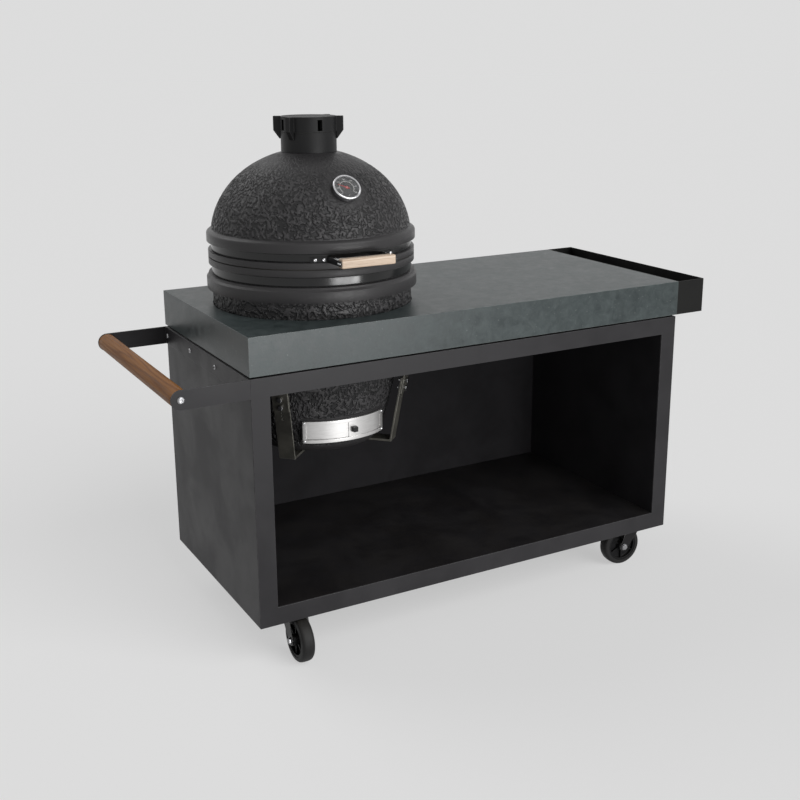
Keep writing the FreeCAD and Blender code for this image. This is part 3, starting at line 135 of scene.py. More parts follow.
def rescale(tree, value, fromLow, fromHigh, toLow=0.0, toHigh=1.0, smooth=False):
    inputs = {"Value": value, "From Min": fromLow, "From Max": fromHigh, "To Min": toLow,
              "To Max": toHigh}
    kind = "SMOOTHSTEP" if smooth else "LINEAR"
    return addNode(tree, "ShaderNodeMapRange", inputs, interpolation_type=kind).outputs["Result"]


def mixColours(tree, factor, first, second):
    return addNode(tree, "ShaderNodeMix", {0: factor, 6: first, 7: second}, data_type="RGBA").outputs[2]


def layerColours(tree, base, *coats):  # each coat is a mask and a screen colour, laid over what is below
    colour = paint(base)
    for mask, coat in coats:
        colour = mixColours(tree, mask, colour, paint(coat))
    return colour


def noiseFactor(tree, vector, scale, detail=2.0, roughness=0.5, distortion=0.0):
    inputs = {"Vector": vector, "Scale": scale, "Detail": detail, "Roughness": roughness,
              "Distortion": distortion}
    return addNode(tree, "ShaderNodeTexNoise", inputs).outputs["Fac"]


def mapVector(tree, vector, **inputs):
    return addNode(tree, "ShaderNodeMapping", {"Vector": vector, **inputs}).outputs[0]


def readAttribute(tree, name):
    return addNode(tree, "ShaderNodeAttribute", attribute_name=name).outputs["Fac"]


def newGroup(name, amounts, masks):  # takes a Vector and amounts with defaults, and puts out masks
    tree = bpy.data.node_groups.new(name, "ShaderNodeTree")
    tree.interface.new_socket(name="Vector", in_out="INPUT", socket_type="NodeSocketVector")
    for label, value in amounts.items():
        socket = tree.interface.new_socket(name=label, in_out="INPUT", socket_type="NodeSocketFloat")
        socket.default_value = value
    for label in masks:
        tree.interface.new_socket(name=label, in_out="OUTPUT", socket_type="NodeSocketFloat")
    return tree, tree.nodes.new("NodeGroupInput").outputs, tree.nodes.new("NodeGroupOutput").inputs


def putOut(tree, result, **masks):
    for label, mask in masks.items():
        tree.links.new(mask, result[label])
    return tree


# Fine skin of a coat or casting: its height, and slow patches over it
def makeSkinGroup():
    tree, given, result = newGroup("surfaceSkin", {"Grain": 700.0, "Patches": 5.0}, ("Height", "Patch"))
    fine = noiseFactor(tree, given["Vector"], given["Grain"], 3.0, 0.55)
    slow = noiseFactor(tree, given["Vector"], given["Patches"], 4.0, 0.6, 0.4)
    return putOut(tree, result, Height=fine, Patch=rescale(tree, slow, 0.32, 0.68, smooth=True))


# Wear along bevelled edges; the bevels carry the attribute "edge"
def makeWearGroup():
    tree, given, result = newGroup("edgeWear", {"Scale": 60.0, "Amount": 0.5}, ("Mask",))
    chipNoise = noiseFactor(tree, given["Vector"], given["Scale"], 4.0, 0.7)
    chips = rescale(tree, chipNoise, 0.38, 0.62, 0.25, 1.0)
    worn = multiply(tree, readAttribute(tree, "edge"), chips)
    return putOut(tree, result, Mask=multiply(tree, worn, given["Amount"]))


# Dust on faces that look up
def makeDustGroup():
    tree, given, result = newGroup("settledDust", {"Amount": 0.1}, ("Mask",))
    normal = addNode(tree, "ShaderNodeNewGeometry").outputs["Normal"]
    upward = addNode(tree, "ShaderNodeSeparateXYZ", {0: normal}).outputs["Z"]
    level = rescale(tree, upward, 0.2, 0.95, smooth=True)
    drift = rescale(tree, noiseFactor(tree, given["Vector"], 9.0, 6.0, 0.65), 0.3, 0.75)
    return putOut(tree, result, Mask=multiply(tree, multiply(tree, level, drift), given["Amount"]))


# Timber: year rings stretched along the grain, pores and long streaks. The grain is the vector's Z.
def makeTimberGroup():
    tree, given, result = newGroup("timberGrain", {"Rings": 90.0, "Pores": 900.0},
                                   ("Ring", "Streak", "Pore", "Height"))
    along = mapVector(tree, given["Vector"], Scale=(1.0, 1.0, 0.045))
    fibre = mapVector(tree, given["Vector"], Scale=(1.0, 1.0, 0.02))
    bend = noiseFactor(tree, along, 22.0, 2.0, 0.5)
    spread = addNode(tree, "ShaderNodeVectorMath", {0: along, 1: (0.35, 0.12, 0.0)},
                     operation="DOT_PRODUCT").outputs["Value"]
    phase = calculate(tree, "MULTIPLY_ADD", bend, 0.045, spread)
    wave = calculate(tree, "SINE", multiply(tree, phase, multiply(tree, given["Rings"], 24.0)))
    ring = calculate(tree, "POWER", rescale(tree, wave, -1.0, 1.0), 2.2)
    streak = rescale(tree, noiseFactor(tree, fibre, 240.0, 4.0, 0.6), 0.3, 0.7)
    pore = rescale(tree, noiseFactor(tree, fibre, given["Pores"], 2.0, 0.6), 0.60, 0.70)
    raised = calculate(tree, "MULTIPLY_ADD", ring, -0.35, streak)
    height = calculate(tree, "SUBTRACT", raised, pore)
    return putOut(tree, result, Ring=ring, Streak=streak, Pore=pore, Height=height)


# Fine lines of brushed or turned metal, stretched by a Mapping's scale
def makeBrushGroup():
    tree, given, result = newGroup("brushedLines", {"Scale": 1500.0}, ("Line", "Smear"))
    line = noiseFactor(tree, given["Vector"], given["Scale"], 3.0, 0.7)
    slow = noiseFactor(tree, given["Vector"], multiply(tree, given["Scale"], 0.06), 3.0, 0.6)
    return putOut(tree, result, Line=line, Smear=rescale(tree, slow, 0.3, 0.7))


skinGroup = makeSkinGroup()
wearGroup = makeWearGroup()
dustGroup = makeDustGroup()
timberGroup = makeTimberGroup()
brushGroup = makeBrushGroup()


def placeGroup(tree, group, vector, **amounts):
    return addNode(tree, "ShaderNodeGroup", {"Vector": vector, **amounts}, node_tree=group).outputs


def newMaterial(name, sockets):
    material = bpy.data.materials.new(name)
    material.use_nodes = True
    shader = material.node_tree.nodes["Principled BSDF"]
    for socket, value in sockets.items():
        shader.inputs[socket].default_value = value
    coordinates = material.node_tree.nodes.new("ShaderNodeTexCoord").outputs["Object"]
    return material, material.node_tree, shader, coordinates


def dressShader(tree, shader, colour, rough, height, depth):
    bump = addNode(tree, "ShaderNodeBump", {"Height": height, "Distance": depth, "Strength": 1.0})
    tree.links.new(colour, shader.inputs["Base Color"])
    tree.links.new(rough, shader.inputs["Roughness"])
    tree.links.new(bump.outputs["Normal"], shader.inputs["Normal"])


# Coats, castings, rubber, clay and plain steel share one recipe; wear and dust are amount and colour
finishes = {
    "powderCoat": {"dark": (38, 37, 39), "light": (46, 45, 47), "rough": (0.42, 0.54), "grain": 1300.0,
                   "depth": 0.00006, "wear": (0.55, (92, 91, 93)), "dust": (0.05, (120, 118, 114))},
    # The bay's coat is darker than the powder coat: its darker colour is painted shade inside the bay.
    "bayCoat": {"dark": (25, 24, 26), "light": (36, 35, 37), "rough": (0.55, 0.72), "grain": 1300.0,
                "depth": 0.00006, "wear": (0.5, (78, 77, 79)), "dust": (0.12, (84, 78, 70)),
                "specular": 0.12},
    "planterCoat": {"dark": (20, 20, 20), "light": (27, 27, 26), "rough": (0.45, 0.6), "grain": 1300.0,
                    "depth": 0.00006, "wear": (0.5, (84, 84, 82)), "dust": (0.08, (100, 96, 88)),
                    "specular": 0.15},
    "castIron": {"dark": (14, 14, 15), "light": (23, 23, 24), "rough": (0.38, 0.55), "grain": 850.0,
                 "depth": 0.00022, "wear": (0.5, (60, 59, 58)), "dust": (0.1, (90, 87, 82))},
    "bracketBlack": {"dark": (20, 20, 21), "light": (28, 28, 29), "rough": (0.35, 0.5), "grain": 1200.0,
                     "depth": 0.00006, "wear": (0.6, (98, 97, 95)), "dust": (0.06, (100, 98, 94))},
    "hangerSteel": {"dark": (68, 67, 64), "light": (104, 102, 95), "rough": (0.36, 0.52), "grain": 500.0,
                    "depth": 0.00005, "wear": (0.8, (168, 166, 158)), "dust": (0.08, (110, 106, 98)),
                    "metallic": 0.6},
    "casterSteel": {"dark": (26, 25, 26), "light": (38, 37, 38), "rough": (0.32, 0.5), "grain": 900.0,
                    "depth": 0.00006, "wear": (0.7, (116, 115, 114)), "dust": (0.1, (96, 92, 84)),
                    "metallic": 0.35},
    "tyreRubber": {"dark": (22, 22, 22), "light": (31, 30, 30), "rough": (0.5, 0.7), "grain": 1100.0,
                   "depth": 0.0001, "wear": (0.3, (62, 60, 58)), "dust": (0.2, (88, 82, 74))},
    "hubPlastic": {"dark": (13, 13, 14), "light": (19, 19, 20), "rough": (0.42, 0.58), "grain": 1500.0,
                   "depth": 0.00005, "wear": (0.3, (58, 58, 58)), "dust": (0.12, (78, 74, 68)),
                   "specular": 0.15},
    "fireClay": {"dark": (150, 132, 108), "light": (186, 170, 146), "rough": (0.8, 0.95),
                 "grain": 420.0, "depth": 0.0004, "wear": (0.3, (200, 186, 164)),
                 "dust": (0.5, (96, 90, 84))},
    "grateIron": {"dark": (30, 29, 29), "light": (48, 44, 41), "rough": (0.55, 0.75), "grain": 800.0,
                  "depth": 0.0003, "wear": (0.4, (78, 70, 62)), "dust": (0.4, (110, 104, 98)),
                  "metallic": 0.3},
    "feltGasket": {"dark": (60, 59, 57), "light": (86, 84, 80), "rough": (0.9, 1.0), "grain": 1600.0,
                   "depth": 0.0005, "wear": (0.2, (100, 98, 94)), "dust": (0.1, (100, 96, 90))},
    "darkBolt": {"dark": (142, 142, 144), "light": (172, 172, 174), "rough": (0.22, 0.36),
                 "grain": 1500.0, "depth": 0.00003, "wear": (0.6, (180, 179, 176)),
                 "dust": (0.03, (110, 106, 98)), "metallic": 0.9},
}


def makeFinish(name, values):
    material, tree, shader, place = newMaterial(name, {
        "Metallic": values.get("metallic", 0.0), "Specular IOR Level": values.get("specular", 0.25)})
    skin = placeGroup(tree, skinGroup, place, Grain=values["grain"], Patches=6.0)
    wearAmount, wearColour = values["wear"]
    dustAmount, dustColour = values["dust"]
    wear = placeGroup(tree, wearGroup, place, Scale=55.0, Amount=wearAmount)["Mask"]
    dust = placeGroup(tree, dustGroup, place, Amount=dustAmount)["Mask"]
    colour = layerColours(tree, values["dark"], (skin["Patch"], values["light"]), (wear, wearColour),
                          (dust, dustColour))
    smoothness = rescale(tree, skin["Patch"], 0.0, 1.0, *values["rough"])
    rough = calculate(tree, "MULTIPLY_ADD", dust, 0.3, smoothness)
    dressShader(tree, shader, colour, rough, skin["Height"], values["depth"])
    return material


# Slab of the worktop: cloudy petrol grey with pale flecks under a satin seal
slabLook = {"deep": (32, 40, 41), "middle": (54, 63, 64), "cloud": (82, 91, 91), "fleck": (138, 143, 140),
            "edge": (132, 138, 137), "rough": (0.3, 0.44), "depth": 0.00012}


def makeSlabMaterial(values):
    material, tree, shader, place = newMaterial("worktopSlab", {"Specular IOR Level": 0.4})
    cloud = rescale(tree, noiseFactor(tree, place, 2.6, 7.0, 0.62, 0.7), 0.3, 0.7)
    mottle = rescale(tree, noiseFactor(tree, place, 34.0, 5.0, 0.7, 0.5), 0.3, 0.72)
    pepper = noiseFactor(tree, place, 420.0, 2.0, 0.6)
    fleck = rescale(tree, noiseFactor(tree, place, 150.0, 3.0, 0.5), 0.66, 0.73)
    # The pale edge colour laid on the bevels through the wear mask is partly worn edges and partly a
    # painted highlight along the chamfers.
    wear = placeGroup(tree, wearGroup, place, Scale=40.0, Amount=0.8)["Mask"]
    colour = layerColours(tree, values["deep"], (cloud, values["middle"]),
                          (multiply(tree, mottle, 0.6), values["cloud"]),
                          (multiply(tree, fleck, 0.45), values["fleck"]),
                          (rescale(tree, pepper, 0.6, 0.75, 0.0, 0.3), values["deep"]),
                          (wear, values["edge"]))
    rough = rescale(tree, mottle, 0.0, 1.0, *values["rough"])
    height = calculate(tree, "MULTIPLY_ADD", mottle, 0.5, pepper)
    dressShader(tree, shader, colour, rough, height, values["depth"])
    return material


# Strokes of the glaze: "line" and "break" are the noise levels between which a stroke or a break fades
reliefForm = {"height": 0.0016, "scale": 205.0, "stretch": 2.1, "slant": 0.45, "sway": 0.02,
              "swayScale": 20.0, "reach": 0.27, "line": (-0.22, 0.08), "breakScale": 120.0,
              "break": (-0.36, -0.16)}

# Ceramic: the attributes "worm", "gap" and "relief" draw the strokes, and "bare" is the unglazed inside.
# The lighter stroke colour is a painted highlight on the raised strokes, and the darker colour between
# them is painted shade in the grooves.
ceramicLook = {"ground": (32, 32, 33), "stroke": (66, 65, 66), "smooth": (54, 53, 54),
               "worn": (110, 109, 108), "clay": (166, 158, 145), "soot": (84, 79, 73),
               "rough": (0.3, 0.44), "depth": 0.0026}


def makeCeramicMaterial(values):
    material, tree, shader, place = newMaterial("kamadoCeramic", {"Specular IOR Level": 0.3})
    line = rescale(tree, readAttribute(tree, "worm"), *reliefForm["line"], smooth=True)
    unbroken = rescale(tree, readAttribute(tree, "gap"), *reliefForm["break"], smooth=True)
    relief = readAttribute(tree, "relief")
    bare = readAttribute(tree, "bare")
    stroke = multiply(tree, multiply(tree, line, unbroken), relief)
    skin = placeGroup(tree, skinGroup, place, Grain=620.0, Patches=7.0)
    wear = placeGroup(tree, wearGroup, place, Scale=45.0, Amount=0.35)["Mask"]
    # Painted shade and highlight: the relief darkens the glaze to the groove colour, and the raised
    # strokes get the lighter stroke colour.
    glaze = layerColours(tree, values["smooth"], (relief, values["ground"]),
                         (multiply(tree, skin["Patch"], 0.5), values["smooth"]),
                         (stroke, values["stroke"]), (wear, values["worn"]))
    soot = rescale(tree, noiseFactor(tree, place, 8.0, 6.0, 0.68, 0.2), 0.35, 0.68)
    clay = layerColours(tree, values["clay"], (soot, values["soot"]))
    smoothness = rescale(tree, skin["Patch"], 0.0, 1.0, *values["rough"])
    rough = calculate(tree, "MULTIPLY_ADD", bare, 0.4, smoothness)
    height = calculate(tree, "MULTIPLY_ADD", skin["Height"], 0.16, stroke)
    dressShader(tree, shader, mixColours(tree, bare, glaze, clay), rough, height, values["depth"])
    return material


# Timber of the push bar and of the lid's bar; the turn lays the grain along the bar
timbers = {
    "oiledWood": {"dark": (124, 77, 33), "light": (160, 106, 49), "streak": (138, 87, 38),
                  "pore": (86, 51, 22), "rough": (0.38, 0.55), "turn": (math.pi / 2, 0, 0),
                  "rings": 60.0, "depth": 0.00012},
    "handleWood": {"dark": (194, 166, 141), "light": (238, 220, 201), "streak": (220, 197, 174),
                   "pore": (146, 118, 94), "rough": (0.42, 0.6), "turn": (0, math.pi / 2, 0),
                   "rings": 110.0, "depth": 0.00012},
}


def makeTimberMaterial(name, values):
    material, tree, shader, place = newMaterial(name, {"Specular IOR Level": 0.15})
    turned = mapVector(tree, place, Rotation=values["turn"])
    grain = placeGroup(tree, timberGroup, turned, Rings=values["rings"], Pores=900.0)
    colour = layerColours(tree, values["light"], (grain["Ring"], values["dark"]),
                          (multiply(tree, grain["Streak"], 0.5), values["streak"]),
                          (multiply(tree, grain["Pore"], 0.7), values["pore"]))
    rough = rescale(tree, grain["Streak"], 0.0, 1.0, *values["rough"])
    dressShader(tree, shader, colour, rough, grain["Height"], values["depth"])
    return material


# Bright and glossy metals: the brush lines run along the axis whose stretch is small
metals = {
    "stainless": {"dark": (190, 189, 188), "light": (214, 213, 212), "rough": (0.33, 0.41),
                  "stretch": (1, 1, 30), "scale": 700.0, "depth": 0.000004},
    "chrome": {"dark": (196, 196, 198), "light": (226, 226, 228), "rough": (0.06, 0.14),
               "stretch": (1, 1, 1), "scale": 500.0, "depth": 0.000005},
    "grateSteel": {"dark": (128, 124, 118), "light": (170, 168, 164), "rough": (0.3, 0.45),
                   "stretch": (0.05, 1, 1), "scale": 900.0, "depth": 0.00003},
}


def makeMetalMaterial(name, values):
    material, tree, shader, place = newMaterial(name, {"Metallic": 1.0})
    lines = mapVector(tree, place, Scale=values["stretch"])
    brush = placeGroup(tree, brushGroup, lines, Scale=values["scale"])
    colour = layerColours(tree, values["dark"], (brush["Smear"], values["light"]))
    rough = rescale(tree, brush["Line"], 0.3, 0.7, *values["rough"])
    dressShader(tree, shader, colour, rough, brush["Line"], values["depth"])
    return material


# Enamelled band: black gloss with faint smears
bandLook = {"dark": (14, 14, 15), "light": (20, 20, 21), "worn": (90, 90, 90), "rough": (0.14, 0.24),
            "depth": 0.00002}


def makeBandMaterial(values):
    material, tree, shader, place = newMaterial("glossBand", {"Specular IOR Level": 0.45})
    skin = placeGroup(tree, skinGroup, place, Grain=160.0, Patches=9.0)
    wear = placeGroup(tree, wearGroup, place, Scale=70.0, Amount=0.5)["Mask"]
    colour = layerColours(tree, values["dark"], (skin["Patch"], values["light"]), (wear, values["worn"]))
    rough = rescale(tree, skin["Patch"], 0.0, 1.0, *values["rough"])
    dressShader(tree, shader, colour, rough, skin["Height"], values["depth"])
    return material


# Thermometer paints: the dial's face, its white print and the pointer's red lacquer
prints = {
    "dialFace": {"dark": (44, 45, 47), "light": (56, 57, 59), "rough": 0.4},
    "dialPrint": {"dark": (214, 214, 212), "light": (232, 232, 230), "rough": 0.45},
    "needleRed": {"dark": (176, 30, 22), "light": (200, 40, 28), "rough": 0.35},
}


def makePrintMaterial(name, values):
    material, tree, shader, place = newMaterial(name, {})
    skin = placeGroup(tree, skinGroup, place, Grain=2600.0, Patches=70.0)
    colour = layerColours(tree, values["dark"], (skin["Patch"], values["light"]))
    rough = rescale(tree, skin["Height"], 0.3, 0.7, values["rough"] - 0.08, values["rough"] + 0.08)
    dressShader(tree, shader, colour, rough, skin["Height"], 0.00001)
    return material


def makeGlassMaterial():
    material, tree, shader, place = newMaterial("lensGlass", {
        "Transmission Weight": 1.0, "IOR": 1.46, "Base Color": (1, 1, 1, 1)})
    smear = rescale(tree, noiseFactor(tree, place, 60.0, 4.0, 0.6), 0.45, 0.8, 0.0, 0.05)
    tree.links.new(smear, shader.inputs["Roughness"])
    return material


looks = {"worktopSlab": makeSlabMaterial(slabLook), "kamadoCeramic": makeCeramicMaterial(ceramicLook),
         "glossBand": makeBandMaterial(bandLook), "lensGlass": makeGlassMaterial()}
for table, makeMaterial in ((finishes, makeFinish), (timbers, makeTimberMaterial),
                            (metals, makeMetalMaterial), (prints, makePrintMaterial)):
    for name, values in table.items():
        looks[name] = makeMaterial(name, values)
print("materials made,", len(looks))


def camelName(words):  # some_node becomes someNode
    first, *others = words.split("_")
    return first + "".join(word.capitalize() for word in others)


lookOfSlot = {slot: camelName(slot) for slot in slotOfNode.values()}
lookOfSlot.update({"dark_bolts": "darkBolt", "felt": "feltGasket", "vent_iron": "castIron"})


# Mesh helpers

def sharpEdges(bm, angle):
    limit = math.radians(angle)
    return [edge for edge in bm.edges if edge.is_manifold and edge.calc_face_angle() > limit]


def softenEdges(bm, edges, width, segments=2):  # bevels edges and marks the new faces for the wear group
    edgeLayer = bm.faces.layers.float.get("edge") or bm.faces.layers.float.new("edge")
    made = bmesh.ops.bevel(bm, geom=edges, offset=width, offset_type="OFFSET", affect="EDGES",
                           segments=segments, profile=0.5, material=-1, clamp_overlap=False)
    for face in made["faces"]:
        face[edgeLayer] = 1.0


# Turns an outline of (radius, height) about Z. It spins one sector of at most 16 steps, or of an odd
# number, and doubles it until it closes, which is quicker.
def spinOutline(points, steps, closed=False, layers=None):
    bm = bmesh.new()
    layers = layers or {}
    for name in layers:
        bm.verts.layers.float.new(name)
    verts = [bm.verts.new((radius, 0, height)) for radius, height in points]
    for name, values in layers.items():
        layer = bm.verts.layers.float[name]
        for vert, value in zip(verts, values):
            vert[layer] = value
    pairs = list(zip(verts[:-1], verts[1:])) + ([(verts[-1], verts[0])] if closed else [])
    edges = [bm.edges.new(pair) for pair in pairs]
    fullTurn = 2 * math.pi
    sector = fullTurn
    while steps % 2 == 0 and steps > 16:
        steps //= 2
        sector /= 2
    bmesh.ops.spin(bm, geom=verts + edges, cent=(0, 0, 0), axis=(0, 0, 1), angle=sector, steps=steps,
                   use_merge=sector == fullTurn)
    while sector < fullTurn:
        copied = bmesh.ops.duplicate(bm, geom=bm.verts[:] + bm.edges[:] + bm.faces[:])["geom"]
        corners = [item for item in copied if isinstance(item, bmesh.types.BMVert)]
        bmesh.ops.rotate(bm, cent=(0, 0, 0), matrix=Matrix.Rotation(sector, 3, "Z"), verts=corners)
        sector *= 2
    bmesh.ops.remove_doubles(bm, verts=bm.verts, dist=1e-6)
    bmesh.ops.recalc_face_normals(bm, faces=bm.faces)
    return bm


# Makes the piece that stands for a node; an extra piece has its own name and leaves the node as it is
def finishPiece(bm, node, matrix=None, look=None, smoothAngle=32, extraName=None):
    name = extraName or camelName(node)
    if matrix:
        bmesh.ops.transform(bm, matrix=matrix, verts=bm.verts)
    mesh = bpy.data.meshes.new(name)
    bm.to_mesh(mesh)
    bm.free()
    mesh.polygons.foreach_set("use_smooth", [True] * len(mesh.polygons))
    mesh.set_sharp_from_angle(angle=math.radians(smoothAngle))
    slot = slotOfNode[node]
    mesh.materials.append(looks[look or lookOfSlot[slot]])
    piece = bpy.data.objects.new(name, mesh)
    bpy.context.scene.collection.objects.link(piece)
    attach(piece, frame["nodes"][node]["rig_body"])
    if not extraName:
        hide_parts(node)
    return piece


def toMesh(bm):  # for a shape that is stamped at several places
    mesh = bpy.data.meshes.new("stampedShape")
    bm.to_mesh(mesh)
    bm.free()
    return mesh


def stamp(bm, mesh, matrix):  # adds a copy of mesh at matrix
    start = len(bm.verts)
    bm.from_mesh(mesh)
    bm.verts.ensure_lookup_table()
    bmesh.ops.transform(bm, matrix=matrix, verts=bm.verts[start:])


def stampAll(node, look, places):
    bm = bmesh.new()
    for mesh, matrix in places:
        stamp(bm, mesh, matrix)
    finishPiece(bm, node, look=look)


def facing(place, outward, turn=0.0):  # lays local Z along outward; the turn is in radians
    quaternion = Vector(outward).to_track_quat("Z", "Y")
    return Matrix.Translation(place) @ quaternion.to_matrix().to_4x4() @ Matrix.Rotation(turn, 4, "Z")


def aroundKamado(azimuth, radius, height):
    outward = towards(azimuth)
    return kamadoPlace + outward * radius + Vector((0, 0, height)), outward


def smoothStep(low, high, value):
    share = min(1.0, max(0.0, (value - low) / (high - low)))
    return share * share * (3 - 2 * share)


def inMetres(rows):  # the first two numbers of each row are millimetres
    return [(0.001 * row[0], 0.001 * row[1]) for row in rows]


# CAD nodes whose form is right get softened edges: the bevel's width for each
softened = {
    "worktop_plate": 0.0009, "worktop_aprons": 0.0009, "worktop_subframe": 0.0012,
    "left_side_panel": 0.0009, "right_side_panel": 0.0009, "back_panel": 0.0006, "front_frame": 0.0009,
    "floor_panel": 0.0009, "cabinet_rails": 0.0009, "cabinet_top_panel": 0.0008, "planter_tray": 0.0007,
    "push_handle_bracket": 0.001, "fire_ring": 0.002, "charcoal_grate": 0.0016, "cooking_grate": 0.0016,
    "draft_frame": 0.0004, "draft_door": 0.0004, "draft_door_knob": 0.0005,
    "lid_handle_brackets": 0.0006, "thermometer_needle": 0.0001, "vent_collar": 0.0009,
    "vent_cap": 0.0011, "hinge_lid_bracket": 0.0007, "hinge_bowl_bracket": 0.0007, "hinge_pin": 0.0008,
    "hanger_upper_straps": 0.0008, "hanger_lower_brackets": 0.0008, "caster_plates": 0.0006,
}
for corner in ("front_left", "front_right", "rear_left", "rear_right"):
    softened["caster_fork_" + corner] = 0.0007
bayNodes = ("floor_panel", "back_panel")  # the bay's inside gets a darker, duller coat; the darker colour is painted shade of the deep bay


def softenNode(node, width):
    bm = bmesh.new()
    bm.from_mesh(frame["nodes"][node].data)
    bmesh.ops.remove_doubles(bm, verts=bm.verts, dist=2e-6)
    bmesh.ops.dissolve_limit(bm, angle_limit=math.radians(0.6), verts=bm.verts, edges=bm.edges,
                             use_dissolve_boundaries=False)
    softenEdges(bm, sharpEdges(bm, 33), width)
    piece = finishPiece(bm, node, look="bayCoat" if node in bayNodes else None)
    # Large faces lead the normals, which keeps the sheets flat beside their bevels
    weighted = piece.modifiers.new("largeFacesLead", "WEIGHTED_NORMAL")
    weighted.keep_sharp = True


for node, width in softened.items():
    softenNode(node, width)
print("softened", len(softened), "nodes")


# Kamado outlines, in millimetres from its axis and from the worktop's face
def arcThrough(first, middle, last, count):
    (ax, ay), (bx, by), (cx, cy) = first, middle, last
    a, b, c = (x ** 2 + y ** 2 for x, y in (first, middle, last))
    d = 2 * (ax * (by - cy) + bx * (cy - ay) + cx * (ay - by))
    centreX = (a * (by - cy) + b * (cy - ay) + c * (ay - by)) / d
    centreY = (a * (cx - bx) + b * (ax - cx) + c * (bx - ax)) / d
    radius = math.hypot(ax - centreX, ay - centreY)
    start = math.atan2(ay - centreY, ax - centreX)
    sweep = math.atan2(cy - centreY, cx - centreX) - start
    angles = [start + sweep * step / count for step in range(count + 1)]
    return [(centreX + radius * math.cos(angle), centreY + radius * math.sin(angle)) for angle in angles]


# The fades are levels between which the relief of the glaze comes and goes. Edges above lipAbove and
# below footBelow get a hairline bevel. The draft frame lies on the boss.
bowlForm = {
    "columns": 480, "foot": (168, -386), "corner": (183, -371), "waist": (218, -244), "neck": (270, 0),
    "arcSteps": 400, "rowPitch": 3.0, "hiddenLevels": (-95, -6), "hiddenPitch": 18.0, "neckRows": 13,
    "rim": [(270, 46), (285.5, 46), (285.5, 73.5), (280, 79), (280, 84), (266.5, 84), (266.5, 111),
            (279, 111), (279, 128.4), (248, 128.4), (248, 0)],
    "innerWaist": (192, -244), "innerFoot": (157, -362), "innerRows": 22,
    "boss": {"radius": 208.5, "azimuths": (-35.4, 34.1), "levels": (-351, -289), "step": 0.7,
             "slack": 0.3, "plainLevels": 6, "plainAzimuths": 2},
    "window": {"azimuths": (2.2, 27.0), "levels": (-338, -302)},
    "footFade": (-371, -355), "neckFade": (44, 34), "bevel": 0.0016, "lipAbove": 20, "footBelow": -360,
}
# The fades are shares of the way from the shoulder to the top, and caseFade is a distance in metres
# from the thermometer, beside which caseRelief of the relief is left.
lidForm = {
    "columns": 560, "lip": [(248, 131.6), (279, 131.6), (279, 147), (266.5, 147), (266.5, 171),
                            (282, 171), (282, 191), (280.6, 195.0), (277.5, 197.8)],
    "radius": 270, "height": 234.7, "centre": 174.5, "shoulderLevel": 201, "top": 76, "rows": 108,
    "hole": 60, "innerRadius": 248, "innerHeight": 212.7, "innerRows": 20,
    "shoulderFade": (0, 0.03), "upperFade": (0.5, 0.82), "upperLoss": 0.85, "topFade": (0.95, 0.99),
    "caseFade": (0.038, 0.075), "caseRelief": 0.15, "bevel": 0.0014,
}


# Where a point of the glaze lies in the field of slanted strokes, which is stretched upwards and sways
def strokePlace(point, values):
    reach = values["reach"]
    climb = point.z + math.copysign(reach - math.hypot(point.x, point.y), point.z)
    sway = values["sway"] * noise.noise(point * values["swayScale"])
    azimuth = math.atan2(point.y, point.x) + (values["slant"] * climb + sway) / reach
    return Vector((reach * math.cos(azimuth), reach * math.sin(azimuth), climb / values["stretch"]))


# Worm-like strokes of the glaze stand where one noise is high and are broken up by another.
# The layer "relief" holds how strong they are; "worm" and "gap" hold both noises for the material.
def raiseRelief(bm, fade=None):
    bm.normal_update()
    height = reliefForm["height"]
    relief, worm, gap = (bm.verts.layers.float[name] for name in ("relief", "worm", "gap"))
    breakStart = Vector((7, 3, 1))
    for vert in bm.verts:
        if vert[relief] == 0:
            continue
        if fade:
            vert[relief] *= fade(vert.co)
        vert[worm] = noise.noise(strokePlace(vert.co, reliefForm) * reliefForm["scale"])
        vert[gap] = noise.noise(vert.co * reliefForm["breakScale"] + breakStart)
        unbroken = smoothStep(*reliefForm["break"], vert[gap])
        stroke = smoothStep(*reliefForm["line"], vert[worm]) * unbroken
        vert.co += vert.normal * height * vert[relief] * (stroke - 0.4)


def spinCeramic(outline, bareRows, columns, closed=False):  # rows are (radius, level, relief)
    still = [0.0] * len(outline)
    bare = [0.0] * (len(outline) - bareRows) + [1.0] * bareRows
    layers = {"relief": [row[2] for row in outline], "bare": bare, "worm": still, "gap": still}
    return spinOutline(inMetres(outline), columns, closed=closed, layers=layers)


def plainRows(points):  # rows without relief
    return [(radius, level, 0.0) for radius, level in points]


def azimuthOf(point):  # degrees; 0 at the front, rising to the right
    return math.degrees(math.atan2(point.x, -point.y))


def within(value, limits, margin=0.0):
    return limits[0] - margin <= value <= limits[1] + margin


def outerBowlRows(values):  # closer rows where the wall shows, and one at each edge of boss and window
    low, high = values["boss"]["levels"]
    step = values["boss"]["step"]
    fixedLevels = sorted([low, high, low - step, high + step, *values["window"]["levels"]])
    hiddenLow, hiddenHigh = values["hiddenLevels"]
    rows, last = [], -math.inf
    for radius, level in arcThrough(values["corner"], values["waist"], values["neck"], values["arcSteps"]):
        while fixedLevels and level > fixedLevels[0]:
            rows.append((radius, fixedLevels.pop(0)))
            last = level
        pitch = values["hiddenPitch"] if hiddenLow < level < hiddenHigh else values["rowPitch"]
        if level - last >= pitch:
            rows.append((radius, level))
            last = level
    rows =[(radius, level, smoothStep(*values["footFade"], level)) for radius, level in rows]
    neckLevels = [values["rowPitch"] * step for step in range(1, values["neckRows"] + 1)]
    neckRadius = values["neck"][0]
    return rows + [(neckRadius, level, smoothStep(*values["neckFade"], level)) for level in neckLevels]


